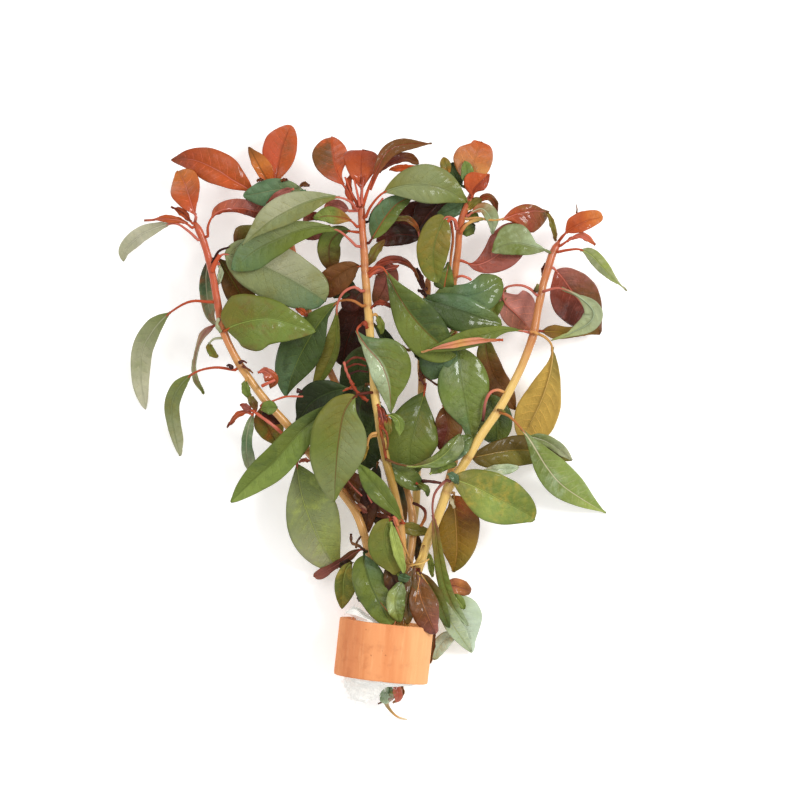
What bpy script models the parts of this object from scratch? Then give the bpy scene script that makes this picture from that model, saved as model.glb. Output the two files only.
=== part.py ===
"""A bunch of ludwigia cuttings, held in an open clay ring and lying on its side.

The bunch is drawn on a plan, as seen from straight above the table: x runs right and y runs down,
800 steps each way, and every point also has its height over the table in millimetres. The eye that
the plan belongs to is far above its centre, so a high point lies a little nearer to the centre than
its place on the plan says.
"""

import math
from collections import namedtuple

import bmesh
import bpy
from mathutils import Matrix, Vector

MM = 0.001
PLAN_STEP = 0.34 * MM
PLAN_CENTRE = 400
EYE_HEIGHT = 1500 * MM

RING_OUTER = 32 * MM
RING_LENGTH = 19.5 * MM
RING_WALL = 3 * MM
RING_FACETS = 48
RING_EDGE = 0.6 * MM
RING_PLACE = (383.7, 650.5)
RING_LEAN = math.radians(6.3)

WOOL_GAP = 0.3 * MM
WOOL_ABOVE = 1.5 * MM
WOOL_BELOW = 8 * MM
WOOL_SIDES = 20
POCKET_RADIUS = 5.8 * MM
POCKET_FOOT = -6.5 * MM
POCKET_ASIDE = 2.7 * MM
POCKET_UP = 1.0 * MM

STEM_SIDES = 7
STEM_STEP = 9 * MM
BUNDLE_RADIUS = 3.4 * MM
BUNDLE_END = -5.5 * MM

LEAF_STATIONS = 14
LEAF_THICKNESS = 0.8 * MM
STALK_WIDTH = 1.3 * MM
LEAST_FULL = 0.6
MOST_FULL = 1.15
ROOT_SIDES = 6
ROOT_STATIONS = 9

CURVE_STEPS = 12
CREASE = math.radians(50)

# Colours are linear: red, green, blue.
TINTS = {
    "clay": (0.72, 0.30, 0.13),
    "wool": (0.86, 0.88, 0.86),
    "stem": (0.66, 0.33, 0.14),
    "sage": (0.22, 0.30, 0.12),
    "green": (0.13, 0.22, 0.05),
    "dark": (0.05, 0.09, 0.02),
    "olive": (0.20, 0.19, 0.03),
    "golden": (0.38, 0.26, 0.04),
    "rust": (0.45, 0.08, 0.02),
    "wine": (0.10, 0.02, 0.015),
    "mint": (0.40, 0.52, 0.34),
    "root": (0.45, 0.35, 0.12),
}

Stem = namedtuple("Stem", "name tip_radius foot_radius place_in_bundle route")

# A place in the bundle is an angle in degrees round the pocket's middle. Radii are in millimetres.
STEMS = (
    Stem("stem_left", 1.15, 1.4, 180, (
        (195, 222, 27), (203, 240, 26.5), (209, 260, 26), (213.5, 280, 25.5), (217, 300, 25),
        (223, 330, 24.5), (237, 360, 24), (251, 381, 23), (266, 401, 22), (290, 428, 20.5),
        (315, 460, 18.5), (340, 490, 17.5), (357, 515, 17.5), (367, 545, 17.5), (379, 590, 17.2))),
    Stem("stem_rear", 1.0, 1.35, 60, (
        (275, 192, 20), (290, 240, 17), (305, 300, 14.5), (325, 360, 12.5), (350, 410, 11.5),
        (378, 450, 11.5), (393, 470, 12.5), (402, 482, 14), (409, 500, 15.2), (412.5, 520, 15.8),
        (412, 545, 17), (405.5, 580, 19), (401, 602, 20.2))),
    Stem("stem_middle", 1.15, 1.45, 120, (
        (361, 200, 31), (362, 225, 31), (364, 250, 31), (365, 270, 31), (367, 295, 31),
        (369, 320, 30.5), (371, 345, 30), (373, 370, 30), (375, 395, 29.5), (378, 415, 29.5),
        (381, 435, 28.5), (386, 460, 28), (391, 479, 27), (396, 500, 25.5), (400, 525, 24),
        (402, 550, 23.5), (398, 582, 22.3), (392.5, 602, 21.2))),
    Stem("stem_tall", 1.05, 1.4, 300, (
        (472, 190, 28), (470, 200, 28), (465, 210, 27.5), (461, 222, 27), (459, 235, 26.5),
        (458, 250, 26), (456, 265, 25), (455, 275, 24.5), (453, 288, 24), (454, 330, 21.5),
        (455, 385, 18.5), (456, 430, 17), (455, 455, 16), (447, 487, 15.5), (438, 515, 15.2),
        (429, 540, 15), (414, 578, 14.5))),
    Stem("stem_inner", 1.15, 1.35, 240, (
        (428, 277, 21), (427, 295, 19.5), (424, 330, 17), (421, 365, 15), (422, 380, 14.5),
        (421, 400, 14), (419, 440, 12.5), (417, 470, 11), (416.5, 490, 10.5), (415.5, 508, 10.5),
        (409, 545, 11.5), (399, 582, 13))),
    Stem("stem_right", 1.2, 1.5, 0, (
        (559, 241, 20), (556, 247, 20.3), (552, 255, 20.6), (549, 265, 21), (546, 275, 21.3),
        (543, 285, 21.6), (541, 295, 22), (538, 310, 22.4), (534, 332, 23), (530, 345, 23.4),
        (519, 372, 24), (501, 406, 25), (482, 434, 26), (464, 464, 26), (447.3, 490, 25.5),
        (444, 500, 25), (436.6, 520, 24), (427.7, 540, 22.3), (421.8, 560, 20.8),
        (415, 580, 19), (411, 600, 17.6))),
)

# Half widths are in plan steps at a quarter, a half and three quarters of the blade, left and right
# as seen looking from the stalk to the tip. Roll lifts the left side and fold lifts both, in degrees.
# Ends are the blade's fullness at its foot and its tip: low is round and high is drawn out.
Leaf = namedtuple(
    "Leaf", "name tint route left right stalk roll fold ends",
    defaults=(0.1, 0, 6, (0.8, 0.8)))

LEAVES = (
    Leaf("leaf_left_tip", "rust",
         ((196, 217, 28.8), (192, 206, 28.5), (188, 193, 26), (184, 182, 22), (178, 171, 18.5)),
         (10.5, 16.5, 14), (6.5, 12.5, 15), stalk=0.04, fold=10, ends=(0.8, 0.5)),
    Leaf("leaf_left_far", "sage",
         ((198, 240, 27.5), (187, 230, 28), (173, 223.5, 26), (146, 232, 18), (131, 243.5, 10),
          (124.5, 252, 6), (124, 261, 2.5)),
         (5.5, 7.5, 6.5), (6, 8.5, 8), stalk=0.33, fold=-12, ends=(0.8, 0.7)),
    Leaf("leaf_left_arch", "rust",
         ((208, 236, 27.5), (208, 226, 29), (213, 216, 30.5), (222, 210, 31), (238, 208, 29),
          (256, 211.5, 22.8), (275, 220, 18.5)),
         (8.5, 9.5, 8), (3.5, 5.5, 7), stalk=0.22, fold=-25),
    Leaf("leaf_left_droop_upper", "sage",
         ((209, 302, 25), (193, 301, 26), (180, 306, 24.5), (165, 317, 20), (152, 332, 15),
          (142, 352, 9), (141, 380, 4.5), (146, 409, 0.9)),
         (8, 10.5, 8), (11, 10.5, 9), stalk=0.28, fold=-10, ends=(0.9, 0.8)),
    Leaf("leaf_left_droop_lower", "sage",
         ((235, 370, 23.5), (215, 367.5, 24), (195, 372.5, 21.5), (180, 386, 17), (172, 404, 11),
          (173, 425, 6), (180, 456, 0.9)),
         (7, 8, 8), (8, 7, 5), stalk=0.33, fold=-10, ends=(0.9, 0.8)),
    Leaf("leaf_left_broad_pale", "sage",
         ((216, 262, 27.5), (222, 254.5, 28), (235, 256, 28.2), (252, 262, 28), (270, 270, 27.6),
          (290, 280, 27), (310, 292, 26.2), (325, 302, 25.5)),
         (24, 27, 25), (25, 28, 24), stalk=0.1, roll=7, fold=2, ends=(0.55, 0.45)),
    Leaf("leaf_left_broad_bright", "green",
         ((225, 331, 27), (233, 326, 29), (250, 321, 31), (270, 319, 31.5), (292, 324.5, 30),
          (316, 332, 27.5)),
         (28, 20, 12.5), (27, 26, 16.5), stalk=0.02, roll=0, fold=-2, ends=(0.5, 0.9)),
    Leaf("leaf_left_olive", "olive",
         ((261, 406, 18.5), (264, 418, 16), (270, 431, 13.5), (280, 448, 10.5)),
         (12, 16, 10), (11, 12, 7), stalk=0.05, ends=(0.6, 0.8)),
    Leaf("leaf_left_low_sage", "sage",
         ((297, 458, 21), (298, 475, 21.5), (303, 500, 19.5), (314, 530, 15), (325, 552, 10),
          (337, 569, 5)),
         (22, 30, 22), (14, 24, 22), stalk=0.05, fold=4, ends=(0.75, 0.55)),
    Leaf("leaf_rear_tip", "rust",
         ((275, 185, 21.5), (276, 175, 22), (279, 162, 21), (283, 145, 18), (291, 125, 12)),
         (14, 19, 16), (11, 15, 13), stalk=0.12, fold=8, ends=(0.9, 0.5)),
    Leaf("leaf_rear_rust", "rust",
         ((264, 201, 20), (255, 194, 22), (245, 187, 23), (232, 179.5, 23.5), (219, 171, 23),
          (201.5, 162.5, 21), (187.5, 159, 18.5), (171, 160, 15)),
         (10, 15, 12), (15, 19, 12.5), stalk=0.14, fold=3, ends=(0.6, 0.65)),
    Leaf("leaf_rear_blue_green", "sage",
         ((306, 191, 27), (290, 189, 28), (275, 190, 28), (260, 193, 27.2), (243, 196, 26)),
         (11, 15, 12), (9, 12, 10), stalk=0.05, fold=-5, ends=(0.6, 0.5)),
    Leaf("leaf_middle_sage_upper", "sage",
         ((356, 209, 33), (352, 203, 35), (340, 197.5, 37), (322, 198, 38.3), (300, 205, 38.8),
          (275, 218, 38), (257, 232, 36.5), (242, 245, 35)),
         (10, 13, 7), (10, 17, 12), stalk=0.16, fold=-4),
    Leaf("leaf_middle_sage_lower", "sage",
         ((356, 246, 32), (348, 238, 33.3), (337, 230, 34.5), (318, 227, 35), (298, 231, 34.6),
          (280, 238, 33.8), (256, 250, 32), (232, 270, 30.2)),
         (8.5, 14, 18), (7, 15, 16), stalk=0.16, fold=-3, ends=(0.9, 0.75)),
    Leaf("leaf_middle_dark", "dark",
         ((362, 306, 33), (354, 301, 33.2), (345, 300, 31), (335, 304, 28), (318, 325, 24.5),
          (303, 350, 21), (292, 375, 18), (286, 397, 15)),
         (9, 19, 14), (15, 23, 20), stalk=0.2, fold=-4, ends=(0.8, 0.7)),
    Leaf("leaf_middle_folded_olive", "olive",
         ((361, 291, 33), (354, 287, 34.5), (343, 293, 34.8), (337, 306, 32), (337, 322, 27),
          (335, 345, 21.5), (327, 366, 18), (312, 394, 13.5)),
         (3, 6, 5), (8, 9, 6), stalk=0.3, fold=-12, roll=0),
    Leaf("leaf_middle_dark_low", "dark",
         ((356, 388, 25), (343, 389, 24), (328, 393, 21.5), (310, 404, 17.5), (296, 425, 13)),
         (14, 22, 15), (12, 17, 11), stalk=0.1, ends=(0.7, 0.6)),
    Leaf("leaf_middle_long_left", "green",
         ((357, 396, 31), (347, 399, 31.5), (325, 413, 31.5), (300, 432, 30.5), (275, 460, 28.5),
          (255, 478, 26), (231, 502, 22)),
         (11, 16, 13), (9, 13, 12.5), stalk=0.05, fold=3),
    Leaf("leaf_middle_big_olive", "sage",
         ((366, 393, 33.5), (357, 395, 34.3), (350, 402, 35), (343, 416, 35), (338, 445, 34.5),
          (335.5, 475, 32.5), (334, 502, 30)),
         (21, 28.5, 17), (24, 28.5, 22), stalk=0.09, fold=2, ends=(0.7, 0.75)),
    Leaf("leaf_middle_low_green", "green",
         ((404, 523, 28.2), (395, 512, 30.2), (378, 490, 31), (357, 463, 29.5)),
         (6, 11, 9), (7, 10, 8), stalk=0.03),
    Leaf("leaf_middle_tip_brown", "rust",
         ((357, 202, 33), (350, 194, 34), (341, 181, 33.5), (335, 165, 30), (331, 137, 21)),
         (7, 19, 20), (5.5, 13, 13.5), stalk=0.3, fold=8, ends=(0.8, 0.4)),
    Leaf("leaf_middle_tip_orange", "rust",
         ((361.5, 195, 33.5), (361.5, 185, 34), (361, 172, 34), (362, 150, 30.5)),
         (6, 13, 16), (6, 14, 16), stalk=0.2, fold=8, ends=(1.0, 0.3)),
    Leaf("leaf_middle_cap", "sage",
         ((366, 217, 33), (371, 206, 35), (383, 193, 36.5), (403, 186, 37.5), (425, 185, 37),
          (446, 190, 35.5), (467, 202, 33.5)),
         (15, 21, 15), (13, 18, 13.5), stalk=0.26, fold=-3, ends=(0.8, 0.7)),
    Leaf("leaf_middle_red_rib", "green",
         ((369, 243, 31.5), (373, 237, 32.5), (379, 227, 33), (387, 215, 33.2), (397, 204, 32.5),
          (412, 196, 31)),
         (11, 12, 8), (8, 13, 12), stalk=0.08, fold=8),
    Leaf("leaf_middle_rust", "rust",
         ((362, 266, 29), (352, 268, 28.2), (340, 275, 26.5), (328, 284, 24), (315, 292, 21)),
         (8, 15, 14), (6, 12, 12), stalk=0.05, roll=-6),
    Leaf("leaf_middle_long_green", "green",
         ((369.5, 273, 32), (376, 268, 34), (384, 269, 34.5), (399, 297, 34), (416, 321, 32.8),
          (436, 341, 31), (456, 355, 28.5)),
         (12.5, 21.5, 19), (10, 20.5, 22.5), stalk=0.15, fold=5, ends=(0.9, 0.5)),
    Leaf("leaf_middle_mint_gloss", "mint",
         ((363, 323, 31), (357, 331, 33), (367, 347, 34), (381, 364, 34), (389, 386, 33),
          (391, 413, 31.5)),
         (11, 23, 22), (7, 14, 10), stalk=0.1, fold=3, roll=-3, ends=(0.9, 0.8)),
    Leaf("leaf_tall_tip_rust", "rust",
         ((471.5, 197, 30), (475, 188, 32), (482, 181, 32.5), (489, 174, 32)),
         (12, 15, 9), (5, 8, 6), stalk=0.05, ends=(0.9, 0.7)),
    Leaf("leaf_tall_tip_orange", "rust",
         ((469.5, 186, 28.5), (471, 173, 28.5), (475, 159.5, 27), (483.5, 149, 24),
          (494.7, 144, 20)),
         (18, 20, 11), (10, 13.5, 9), stalk=0.1, fold=5, ends=(0.6, 0.5)),
    Leaf("leaf_tall_rust_right", "rust",
         ((467, 219, 28), (478, 218, 28.5), (490, 220, 28), (503, 219, 27.5), (517, 214, 27.5),
          (533, 211, 26), (549, 212, 22)),
         (6, 8, 5), (7, 15, 17), stalk=0.42, fold=-5, ends=(0.9, 0.5)),
    Leaf("leaf_tall_mauve", "rust",
         ((462.5, 261, 23.5), (475, 265, 24), (490, 260, 24), (505, 249, 23), (520, 235, 21),
          (530, 224, 19)),
         (9, 17, 18), (12, 16, 12), stalk=0.08, fold=3),
    Leaf("leaf_tall_olive", "olive",
         ((456, 229, 28.5), (454.5, 221, 30.2), (450, 217, 31), (444, 219, 31.4), (437, 235, 31.4),
          (433.5, 251, 31), (434, 267, 30), (438, 283, 29)),
         (14, 15.5, 11), (16, 17, 14), stalk=0.22, ends=(0.45, 0.7)),
    Leaf("leaf_tall_maroon", "wine",
         ((450, 196, 25), (440, 203, 25.5), (428, 215, 24.5), (414, 236, 21.5)),
         (13, 15, 10), (13, 15, 10), stalk=0.05, ends=(0.6, 0.7)),
    Leaf("leaf_tall_blue_green", "sage",
         ((431, 299, 24), (443, 299, 26), (462, 297, 27.4), (482, 292, 26.8), (502, 280, 24.5)),
         (13, 13, 16), (18, 21, 18), stalk=0.02, fold=-2, ends=(0.6, 0.55)),
    Leaf("leaf_right_glossy_green", "green",
         ((457, 343, 23.5), (458, 352, 25), (460, 372, 26), (464, 395, 25.5), (468, 418, 23.5),
          (472, 440, 20.5)),
         (25, 26, 18), (20, 25, 17), stalk=0.04, fold=-3, ends=(0.7, 0.6)),
    Leaf("leaf_inner_green", "green",
         ((425.5, 384, 16.5), (424, 394, 20), (418, 415, 22.5), (411, 440, 23), (410, 465, 21.5),
          (413, 490, 18.5)),
         (18, 27, 15), (21, 25, 19), stalk=0.08, fold=-3, ends=(0.8, 0.7)),
    Leaf("leaf_right_tip", "rust",
         ((562, 237, 21), (568, 231, 22.5), (578, 225, 23.5), (590, 220, 22.5), (603, 217, 18)),
         (8, 9, 6.5), (7, 8.5, 6.5), stalk=0.12, fold=12, ends=(0.9, 0.6)),
    Leaf("leaf_right_narrow", "green",
         ((558, 252, 21.5), (568, 250, 22.8), (580, 249.5, 22.8), (592, 256, 20), (603, 268, 15),
          (614, 279, 9), (627, 291, 3)),
         (5.5, 5.5, 3), (4.5, 5, 2.5), stalk=0.26, fold=12),
    Leaf("leaf_right_mint", "mint",
         ((546, 250.5, 23), (535, 247, 26.5), (515, 243, 29.5), (500, 247, 30), (492, 252, 29.5)),
         (9, 12, 10), (8, 19, 15), stalk=0.02, fold=-5, ends=(0.6, 0.5)),
    Leaf("leaf_right_gloss_rust", "rust",
         ((553.5, 268, 21.5), (562, 277, 21), (572, 291, 18.5), (583, 306, 14.5), (601, 333, 6)),
         (20, 22, 14), (19, 24, 18), stalk=0.04, fold=10, ends=(0.6, 0.6)),
    Leaf("leaf_right_mauve", "rust",
         ((536.5, 295, 23), (531, 289.5, 25), (522, 285.5, 25.6), (510, 286, 24.2),
          (503, 291, 21.5), (505, 303, 18), (516, 314, 15), (532, 331, 12)),
         (20, 24, 17), (7, 11, 7), stalk=0.45, fold=-4, ends=(0.6, 0.7)),
    Leaf("leaf_right_red_fold", "green",
         ((529.5, 332.5, 24.5), (515, 330, 28.5), (500, 331, 32), (485, 335, 34.3),
          (465, 339, 35.2), (445, 345, 35.2), (421, 353, 34.4)),
         (5, 10, 7), (6, 8.5, 5), stalk=0.06, fold=-8),
    Leaf("leaf_right_golden", "golden",
         ((538.5, 334, 24), (546, 338, 25), (552, 347, 23), (551, 368, 17), (543, 396, 11.5),
          (533, 418, 8), (522, 440, 5)),
         (9, 18.5, 23), (10, 20, 20), stalk=0.17, fold=3, ends=(0.9, 0.5)),
    Leaf("leaf_right_bright", "green",
         ((500.5, 412.5, 26.5), (509, 416, 28), (518, 425, 27.5), (530, 440, 25), (546, 466, 19),
          (561, 484, 13.5), (582, 499, 7.5), (606, 513, 1)),
         (11, 19.5, 13.5), (9, 14, 9.5), stalk=0.18, fold=3, ends=(0.9, 0.9)),
    Leaf("leaf_right_olive_strap", "olive",
         ((470, 458, 22), (485, 455, 21), (500, 452, 19.5), (519, 450, 17), (545, 452, 12.5),
          (572, 460, 6)),
         (12, 15, 12), (13.5, 15.5, 9.5), stalk=0.02, fold=-3, ends=(0.6, 0.9)),
    Leaf("leaf_right_round", "olive",
         ((450, 477, 30), (460, 481, 31), (475, 487, 31), (494, 497, 29.5), (515, 508, 27),
          (535, 519, 24)),
         (19, 24, 21), (19, 25, 19), stalk=0.03, fold=-3, ends=(0.55, 0.45)),
    Leaf("leaf_right_golden_low", "golden",
         ((454, 493, 22), (454.5, 507, 20.5), (456, 525, 17), (457, 545, 12), (456, 560, 8.5),
          (453.5, 572, 6)),
         (16, 23.5, 17), (11.5, 18, 15), stalk=0.03, ends=(0.6, 0.75)),
    Leaf("leaf_right_long_strap", "olive",
         ((446.5, 480, 28.8), (440, 486, 29.5), (434.5, 494, 29.6), (432.5, 505, 29),
          (433, 515, 28.4), (436, 536, 26.5), (438.5, 555, 24.5), (442, 575, 22), (447, 592, 19.5),
          (455, 609, 16.5), (468, 626, 12.5)),
         (4.5, 6, 6), (4.5, 6, 6), stalk=0.25, fold=5, ends=(0.6, 0.7)),
    Leaf("leaf_base_folded", "green",
         ((391, 518, 28), (385, 531, 29), (386, 550, 28.5), (396, 574, 26)),
         (8, 13, 14), (14, 17, 12), stalk=0.02, fold=-12, ends=(0.5, 0.4)),
    Leaf("leaf_base_dark", "dark",
         ((364, 553, 20.5), (365, 565, 22.3), (370, 583, 23.5), (378, 600, 24), (387, 614, 24)),
         (15, 17, 14), (12, 13, 11), stalk=0.03, fold=-6, ends=(0.6, 0.5)),
    Leaf("leaf_base_mint", "mint",
         ((431, 585, 14), (440, 600, 13), (450, 617, 10), (460, 634, 6.5), (472, 653, 2.5)),
         (17, 26, 16), (3, 4.5, 4.5), stalk=0.08, ends=(0.8, 0.7)),
)

ROOT_ROUTE = (
    (393, 690, 14), (390.5, 696, 10), (386.5, 703, 6), (391, 711, 3.2), (398, 717, 1.6),
    (407, 719.5, 1))
ROOT_RADII = (1.3, 1.6, 1.0, 0.55, 0.4, 0.3)


def at(x, y, height):
    """A plan point at a height in millimetres, as a place in metres."""
    up = height * MM
    nearer = PLAN_STEP * (1 - up / EYE_HEIGHT)
    return Vector(((x - PLAN_CENTRE) * nearer, (PLAN_CENTRE - y) * nearer, up))


def smooth(points, count):
    """Points spread evenly along a smooth curve through the given ones, ends included."""
    given = [Vector(point) for point in points]
    padded = [2 * given[0] - given[1], *given, 2 * given[-1] - given[-2]]
    fine = []
    for a, b, c, d in zip(padded, padded[1:], padded[2:], padded[3:]):
        for step in range(CURVE_STEPS):
            t = step / CURVE_STEPS
            fine.append(0.5 * (2 * b + (c - a) * t + (2 * a - 5 * b + 4 * c - d) * t**2
                               + (3 * b - a - 3 * c + d) * t**3))
    fine.append(given[-1])
    lengths = [0.0]
    for a, b in zip(fine, fine[1:]):
        lengths.append(lengths[-1] + (b - a).length)
    spread = []
    place = 0
    for index in range(count):
        wanted = lengths[-1] * index / (count - 1)
        while place < len(lengths) - 2 and lengths[place + 1] < wanted:
            place += 1
        share = (wanted - lengths[place]) / (lengths[place + 1] - lengths[place])
        spread.append(fine[place].lerp(fine[place + 1], min(max(share, 0), 1)))
    return spread


def half_width(shape, ends, t):
    """A blade's half width at t of its length, through the three given ones."""
    if not 0 < t < 1:
        return 0.0
    full = [w / (q ** ends[0] * (1 - q) ** ends[1]) for w, q in zip(shape, (0.25, 0.5, 0.75))]
    early, middle, late = full
    between = (early * (t - 0.5) * (t - 0.75) * 8 - middle * (t - 0.25) * (t - 0.75) * 16
               + late * (t - 0.25) * (t - 0.5) * 8)
    # The curve through the three ratios is held level outside them, so no end flares.
    held = min(max(between, LEAST_FULL * min(full)), MOST_FULL * max(full))
    return held * t ** ends[0] * (1 - t) ** ends[1]


def loft(name, rings, tint, roughness=0.5):
    """One closed body through rings of points, which all have as many. One-point ends close it."""
    mesh = bmesh.new()
    sides = len(rings[1])
    first = bmesh.ops.create_circle(mesh, segments=sides, radius=1)["verts"]
    for vert, place in zip(first, rings[1]):
        vert.co = place
    edges = list(mesh.edges)
    row = first
    for ring in rings[2:-1]:
        made = bmesh.ops.extrude_edge_only(mesh, edges=edges)["geom"]
        new = [item for item in made if isinstance(item, bmesh.types.BMVert)]
        pairs = {}
        for vert in new:
            for edge in vert.link_edges:
                other = edge.other_vert(vert)
                if other in row:
                    pairs[other] = vert
        row = [pairs[vert] for vert in row]
        for vert, place in zip(row, ring):
            vert.co = place
        edges = [item for item in made
                 if isinstance(item, bmesh.types.BMEdge) and all(v in row for v in item.verts)]
    for rim, point in ((first, rings[0]), (row, rings[-1])):
        closing = mesh.verts.new(point[0])
        for a, b in zip(rim, rim[1:] + rim[:1]):
            mesh.faces.new((a, b, closing))
    bmesh.ops.triangulate(mesh, faces=mesh.faces)
    bmesh.ops.recalc_face_normals(mesh, faces=mesh.faces)
    return finished(name, mesh, tint, roughness)


def finished(name, mesh, tint, roughness):
    """Makes a bmesh an object with a material of its own."""
    data = bpy.data.meshes.new(name)
    mesh.to_mesh(data)
    mesh.free()
    data.shade_smooth()
    data.set_sharp_from_angle(angle=CREASE)
    piece = bpy.data.objects.new(name, data)
    bpy.context.scene.collection.objects.link(piece)
    material = bpy.data.materials.new(name)
    material.use_nodes = True
    shader = material.node_tree.nodes["Principled BSDF"]
    shader.inputs["Base Color"].default_value = (*TINTS[tint], 1)
    shader.inputs["Roughness"].default_value = roughness
    data.materials.append(material)
    return piece


def tube_rings(centres, radii, sides):
    """Rings of points round a line of centres, with a closing point at each end."""
    rings = [[centres[0]]]
    for index, centre in enumerate(centres):
        before = centres[max(index - 1, 0)]
        after = centres[min(index + 1, len(centres) - 1)]
        along = (after - before).normalized()
        across = along.cross(Vector((0, 0, 1))).normalized()
        above = across.cross(along)
        ring = []
        for side in range(sides):
            turn = 2 * math.pi * side / sides
            ring.append(centre + radii[index] * (across * math.cos(turn) + above * math.sin(turn)))
        rings.append(ring)
    rings.append([centres[-1]])
    return rings


def ring_frame():
    """The ring's middle, with Y along its axis towards the leaves and Z up."""
    middle = at(*RING_PLACE, RING_OUTER / 2 / MM)
    return Matrix.Translation(middle) @ Matrix.Rotation(-RING_LEAN, 4, "Z")


def make_ring():
    """A short open tube with eased edges, turned so that a facet lies flat on the table."""
    mesh = bmesh.new()
    outer = RING_OUTER / 2 / math.cos(math.pi / RING_FACETS)
    inner = outer - RING_WALL
    half = RING_LENGTH / 2
    corners = (
        (inner, -half + RING_EDGE), (inner + RING_EDGE, -half), (outer - RING_EDGE, -half),
        (outer, -half + RING_EDGE), (outer, half - RING_EDGE), (outer - RING_EDGE, half),
        (inner + RING_EDGE, half), (inner, half - RING_EDGE))
    profile = [mesh.verts.new((radius, along, 0)) for radius, along in corners]
    edges = [mesh.edges.new(pair) for pair in zip(profile, profile[1:] + profile[:1])]
    bmesh.ops.spin(
        mesh, geom=profile + edges, axis=(0, 1, 0), cent=(0, 0, 0), dvec=(0, 0, 0),
        angle=2 * math.pi, steps=RING_FACETS, use_merge=True, use_duplicate=False)
    bmesh.ops.remove_doubles(mesh, verts=mesh.verts, dist=1e-6)
    half_facet = Matrix.Rotation(math.pi / 2 + math.pi / RING_FACETS, 4, "Y")
    bmesh.ops.transform(mesh, matrix=ring_frame() @ half_facet, verts=mesh.verts)
    bmesh.ops.recalc_face_normals(mesh, faces=mesh.faces)
    return finished("ring", mesh, "clay", 0.8)


def make_wool():
    """Packing wool: it fills the ring, with a pocket for the stems, and bulges out at the foot."""
    place = ring_frame()
    full = RING_OUTER / 2 - RING_WALL - WOOL_GAP
    top = RING_LENGTH / 2 + WOOL_ABOVE
    foot = -RING_LENGTH / 2
    # Each section is a distance along the ring's axis, a share of the full radius and a shift left.
    sections = (
        (top, 0.8, 0.5), (top - 1.2 * MM, 0.97, 0), (0, 1, 0), (foot - 0.5 * MM, 0.97, 0.2),
        (foot - WOOL_BELOW * 0.25, 0.6, 4.8), (foot - WOOL_BELOW * 0.8, 0.5, 5.6),
        (foot - WOOL_BELOW, 0.3, 5.6))
    rings = []
    for along, share, left in sections:
        ring = []
        for side in range(WOOL_SIDES):
            turn = 2 * math.pi * side / WOOL_SIDES
            ring.append(place @ Vector((
                full * share * math.cos(turn) - left * MM, along, full * share * math.sin(turn))))
        rings.append(ring)
    ends = [[sum(ring, Vector()) / WOOL_SIDES] for ring in (rings[0], rings[-1])]
    wool = loft("wool", [ends[0], *rings, ends[1]], "wool", 0.95)
    cutter = loft("pocket", tube_rings(
        [place @ Vector((POCKET_ASIDE, along, POCKET_UP)) for along in (RING_LENGTH, 0, POCKET_FOOT)],
        [POCKET_RADIUS] * 3, WOOL_SIDES), "wool")
    cutter.hide_render = True
    cutter.display_type = "WIRE"
    cut = wool.modifiers.new("pocket", "BOOLEAN")
    cut.object = cutter
    cut.solver = "EXACT"
    return wool


def bundle_place(degrees, along):
    """Where a stem runs inside the ring, a distance along the ring's axis from its middle."""
    turn = math.radians(degrees)
    return ring_frame() @ Vector((
        POCKET_ASIDE + BUNDLE_RADIUS * math.cos(turn), along,
        POCKET_UP + BUNDLE_RADIUS * math.sin(turn)))


def make_stem(stem):
    """A round stem from its growing tip to its cut foot inside the ring."""
    mouth = RING_LENGTH / 2
    route = [at(*point) for point in stem.route]
    route += [bundle_place(stem.place_in_bundle, along) for along in (mouth, 0, BUNDLE_END)]
    length = sum((b - a).length for a, b in zip(route, route[1:]))
    centres = smooth(route, max(round(length / STEM_STEP), 6))
    radii = []
    for index in range(len(centres)):
        share = min(index / (len(centres) - 1) * 2, 1)
        radii.append((stem.tip_radius * (1 - share) + stem.foot_radius * share) * MM)
    return loft(stem.name, tube_rings(centres, radii, STEM_SIDES), "stem")


def blade_point(leaf, centre, along, t, side):
    """A point of a leaf's middle surface: t along the blade, and side from -1, right, to 1, left."""
    shape = leaf.left if side > 0 else leaf.right
    stalk = STALK_WIDTH / 2 / PLAN_STEP
    reach = max(half_width(shape, leaf.ends, t), stalk * (1 - max(t, 0)) ** 0.5) * side
    flat = Vector((along.x, along.y, 0)).normalized()
    lift = (reach * math.tan(math.radians(leaf.roll))
            + abs(reach) * math.tan(math.radians(leaf.fold))) * PLAN_STEP / MM
    return Vector((centre.x + flat.y * reach, centre.y - flat.x * reach, centre.z + lift))


def make_leaf(leaf):
    """A leaf with its stalk as one closed solid, thickest along its rib."""
    centres = smooth(leaf.route, LEAF_STATIONS)
    rings = [[at(*centres[0])]]
    for index, centre in enumerate(centres[1:-1], 1):
        along = centres[index + 1] - centres[index - 1]
        t = (index / (LEAF_STATIONS - 1) - leaf.stalk) / (1 - leaf.stalk)
        left = at(*blade_point(leaf, centre, along, t, 1))
        right = at(*blade_point(leaf, centre, along, t, -1))
        rib = at(*centre)
        ahead = at(*centres[index + 1]) - at(*centres[index - 1])
        thick = ahead.cross(left - right).normalized() * LEAF_THICKNESS / 2
        rings.append([left, rib - thick, right, rib + thick])
    rings.append([at(*centres[-1])])
    return loft(leaf.name, rings, leaf.tint)


def make_root():
    """What trails out below the ring: a leaf remnant that thins to a root."""
    centres = smooth([at(*point) for point in ROOT_ROUTE], ROOT_STATIONS)
    radii = []
    for index in range(len(centres)):
        where = index / (len(centres) - 1) * (len(ROOT_RADII) - 1)
        low = min(int(where), len(ROOT_RADII) - 2)
        radii.append((ROOT_RADII[low] * (1 + low - where) + ROOT_RADII[low + 1] * (where - low)) * MM)
    return loft("root", tube_rings(centres, radii, ROOT_SIDES), "root")


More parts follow.
